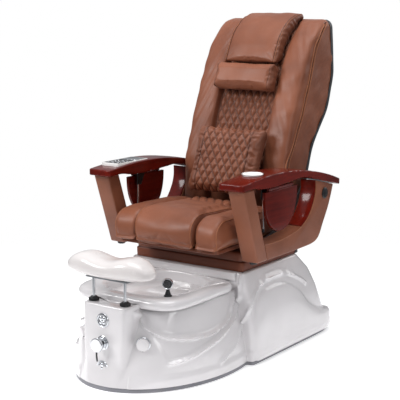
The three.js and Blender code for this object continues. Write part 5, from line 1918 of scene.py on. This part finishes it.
@dataclass
class Works:
    """The plain solids that keep their shape, most of them hidden: each gets its finish and soft edges."""

    shop: Workshop
    nodes: dict
    steel: tuple = ("seat_rail_left", "seat_rail_right", "arm_bracket_left", "arm_bracket_right",
                    "footrest_plate", "post_guide_left", "post_guide_right", "massage_rail_left",
                    "massage_rail_right")

    def build(self) -> None:
        """Paints each node that is still shown."""
        for name, node in self.nodes.items():
            if node.hide_render:
                continue
            slot = Slot.STEEL if name in self.steel else Slot.BLACK
            self.shop.paint(node, self.shop.of[slot])
            soften = node.modifiers.new("soften", "BEVEL")
            soften.width = 0.8 * MM
            soften.segments = 2
            soften.limit_method = "ANGLE"
            soften.angle_limit = math.radians(50)
            log.info("%s keeps its shape", name)


def aimed(place: Sequence[float], way: Vector) -> Matrix:
    """The transform of a camera or a lamp at a place, looking along a way."""
    return Matrix.Translation(place) @ way.to_track_quat("-Z", "Y").to_matrix().to_4x4()


@dataclass
class Studio:
    """Camera, soft lights, pale floor and bright surroundings."""

    eye: tuple[float, float, float] = (2.814, -4.006, 1.562)
    azimuth: float = 34.989
    elevation: float = 10.403
    lens: float = 102.83
    # Place, aim, size and power of each soft light.
    lights: tuple = (
        ((-2.3, -3.6, 3.2), (0, -0.2, 0.7), 1.7, 118.0),
        ((3.8, -1.8, 2.2), (0.1, 0.0, 0.7), 1.6, 24.0),
        ((0.2, -0.3, 4.2), (0, 0, 0.5), 2.6, 80.0),
        ((1.4, 3.6, 2.6), (0, 0.4, 0.9), 2.2, 26.0),
    )

    def build(self) -> None:
        """Sets the camera, the lights, the floor and the world."""
        scene = bpy.context.scene
        scene.view_settings.view_transform = "Standard"
        scene.view_settings.look = "None"
        data = bpy.data.cameras.new("camera")
        data.lens = self.lens
        data.sensor_width = 36.0
        data.clip_end = 60
        camera = bpy.data.objects.new("camera", data)
        a, e = math.radians(self.azimuth), math.radians(self.elevation)
        ahead = Vector((-math.sin(a) * math.cos(e), math.cos(a) * math.cos(e), -math.sin(e)))
        camera.matrix_world = aimed(self.eye, ahead)
        scene.collection.objects.link(camera)
        scene.camera = camera
        for number, (place, aim, size, power) in enumerate(self.lights):
            lamp = bpy.data.lights.new(f"soft_{number}", "AREA")
            lamp.shape, lamp.size, lamp.energy = "SQUARE", size, power
            holder = bpy.data.objects.new(f"soft_{number}", lamp)
            holder.matrix_world = aimed(place, Vector(aim) - Vector(place))
            scene.collection.objects.link(holder)
        world = bpy.data.worlds.new("studio")
        world.use_nodes = True
        tree = world.node_tree
        tree.nodes.clear()
        ray = add_node(tree, "ShaderNodeLightPath")
        seen = add_node(tree, "ShaderNodeBackground", {"Color": (1, 1, 1, 1), "Strength": 1.0})
        place = add_node(tree, "ShaderNodeTexCoord")
        split = add_node(tree, "ShaderNodeSeparateXYZ", {"Vector": place.outputs["Generated"]})
        height = add_node(tree, "ShaderNodeMapRange",
                          {"Value": split.outputs["Z"], "From Min": -0.1, "From Max": 0.75,
                           "To Min": 0.2, "To Max": 0.6})
        lit = add_node(tree, "ShaderNodeBackground",
                       {"Color": (0.96, 0.965, 1, 1), "Strength": height.outputs["Result"]})
        mix = add_node(tree, "ShaderNodeMixShader",
                       {0: ray.outputs["Is Camera Ray"], 1: lit.outputs[0], 2: seen.outputs[0]})
        add_node(tree, "ShaderNodeOutputWorld", {"Surface": mix.outputs[0]})
        scene.world = world
        self.floor()

    def floor(self) -> None:
        """Makes the pale floor."""
        flat = np.array([[-9000, -9000, 0], [9000, -9000, 0], [9000, 9000, 0], [-9000, 9000, 0]], float)
        floor = make_piece("floor", flat, [[0, 1, 2, 3]])
        material = bpy.data.materials.new("pale_floor")
        material.use_nodes = True
        shader = material.node_tree.nodes["Principled BSDF"]
        shader.inputs["Base Color"].default_value = (0.93, 0.93, 0.94, 1)
        shader.inputs["Roughness"].default_value = 0.6
        shader.inputs["Emission Color"].default_value = (1, 1, 1, 1)
        shader.inputs["Emission Strength"].default_value = 0.42
        tree = material.node_tree
        place = add_node(tree, "ShaderNodeTexCoord")
        reach = add_node(tree, "ShaderNodeVectorMath", {0: place.outputs["Object"]}, operation="LENGTH")
        far = add_node(tree, "ShaderNodeMapRange",
                       {"Value": reach.outputs["Value"], "From Min": 0.9, "From Max": 2.4})
        clear = add_node(tree, "ShaderNodeBsdfTransparent")
        fade = add_node(tree, "ShaderNodeMixShader",
                        {0: far.outputs["Result"], 1: shader.outputs[0], 2: clear.outputs[0]})
        tree.links.new(fade.outputs[0], tree.nodes["Material Output"].inputs["Surface"])
        floor.data.materials.append(material)


def main() -> None:
    """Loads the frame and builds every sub-assembly."""
    logging.basicConfig(level=logging.INFO, format="%(message)s")
    for extra in list(bpy.data.objects):
        bpy.data.objects.remove(extra)
    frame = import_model()
    Studio().build()
    shop = Workshop()
    Pedestal(shop).build()
    Basin(shop).build()
    Footrest(shop).build()
    Controls(shop, joints=frame["joints"]).build()
    Seat(shop).build()
    Backrest(shop).build()
    for word, sign in SIDES:
        Arm(shop, word, sign).build()
    Inserts(shop).build()
    Works(shop, frame["nodes"]).build()


if __name__ == "__main__":
    main()
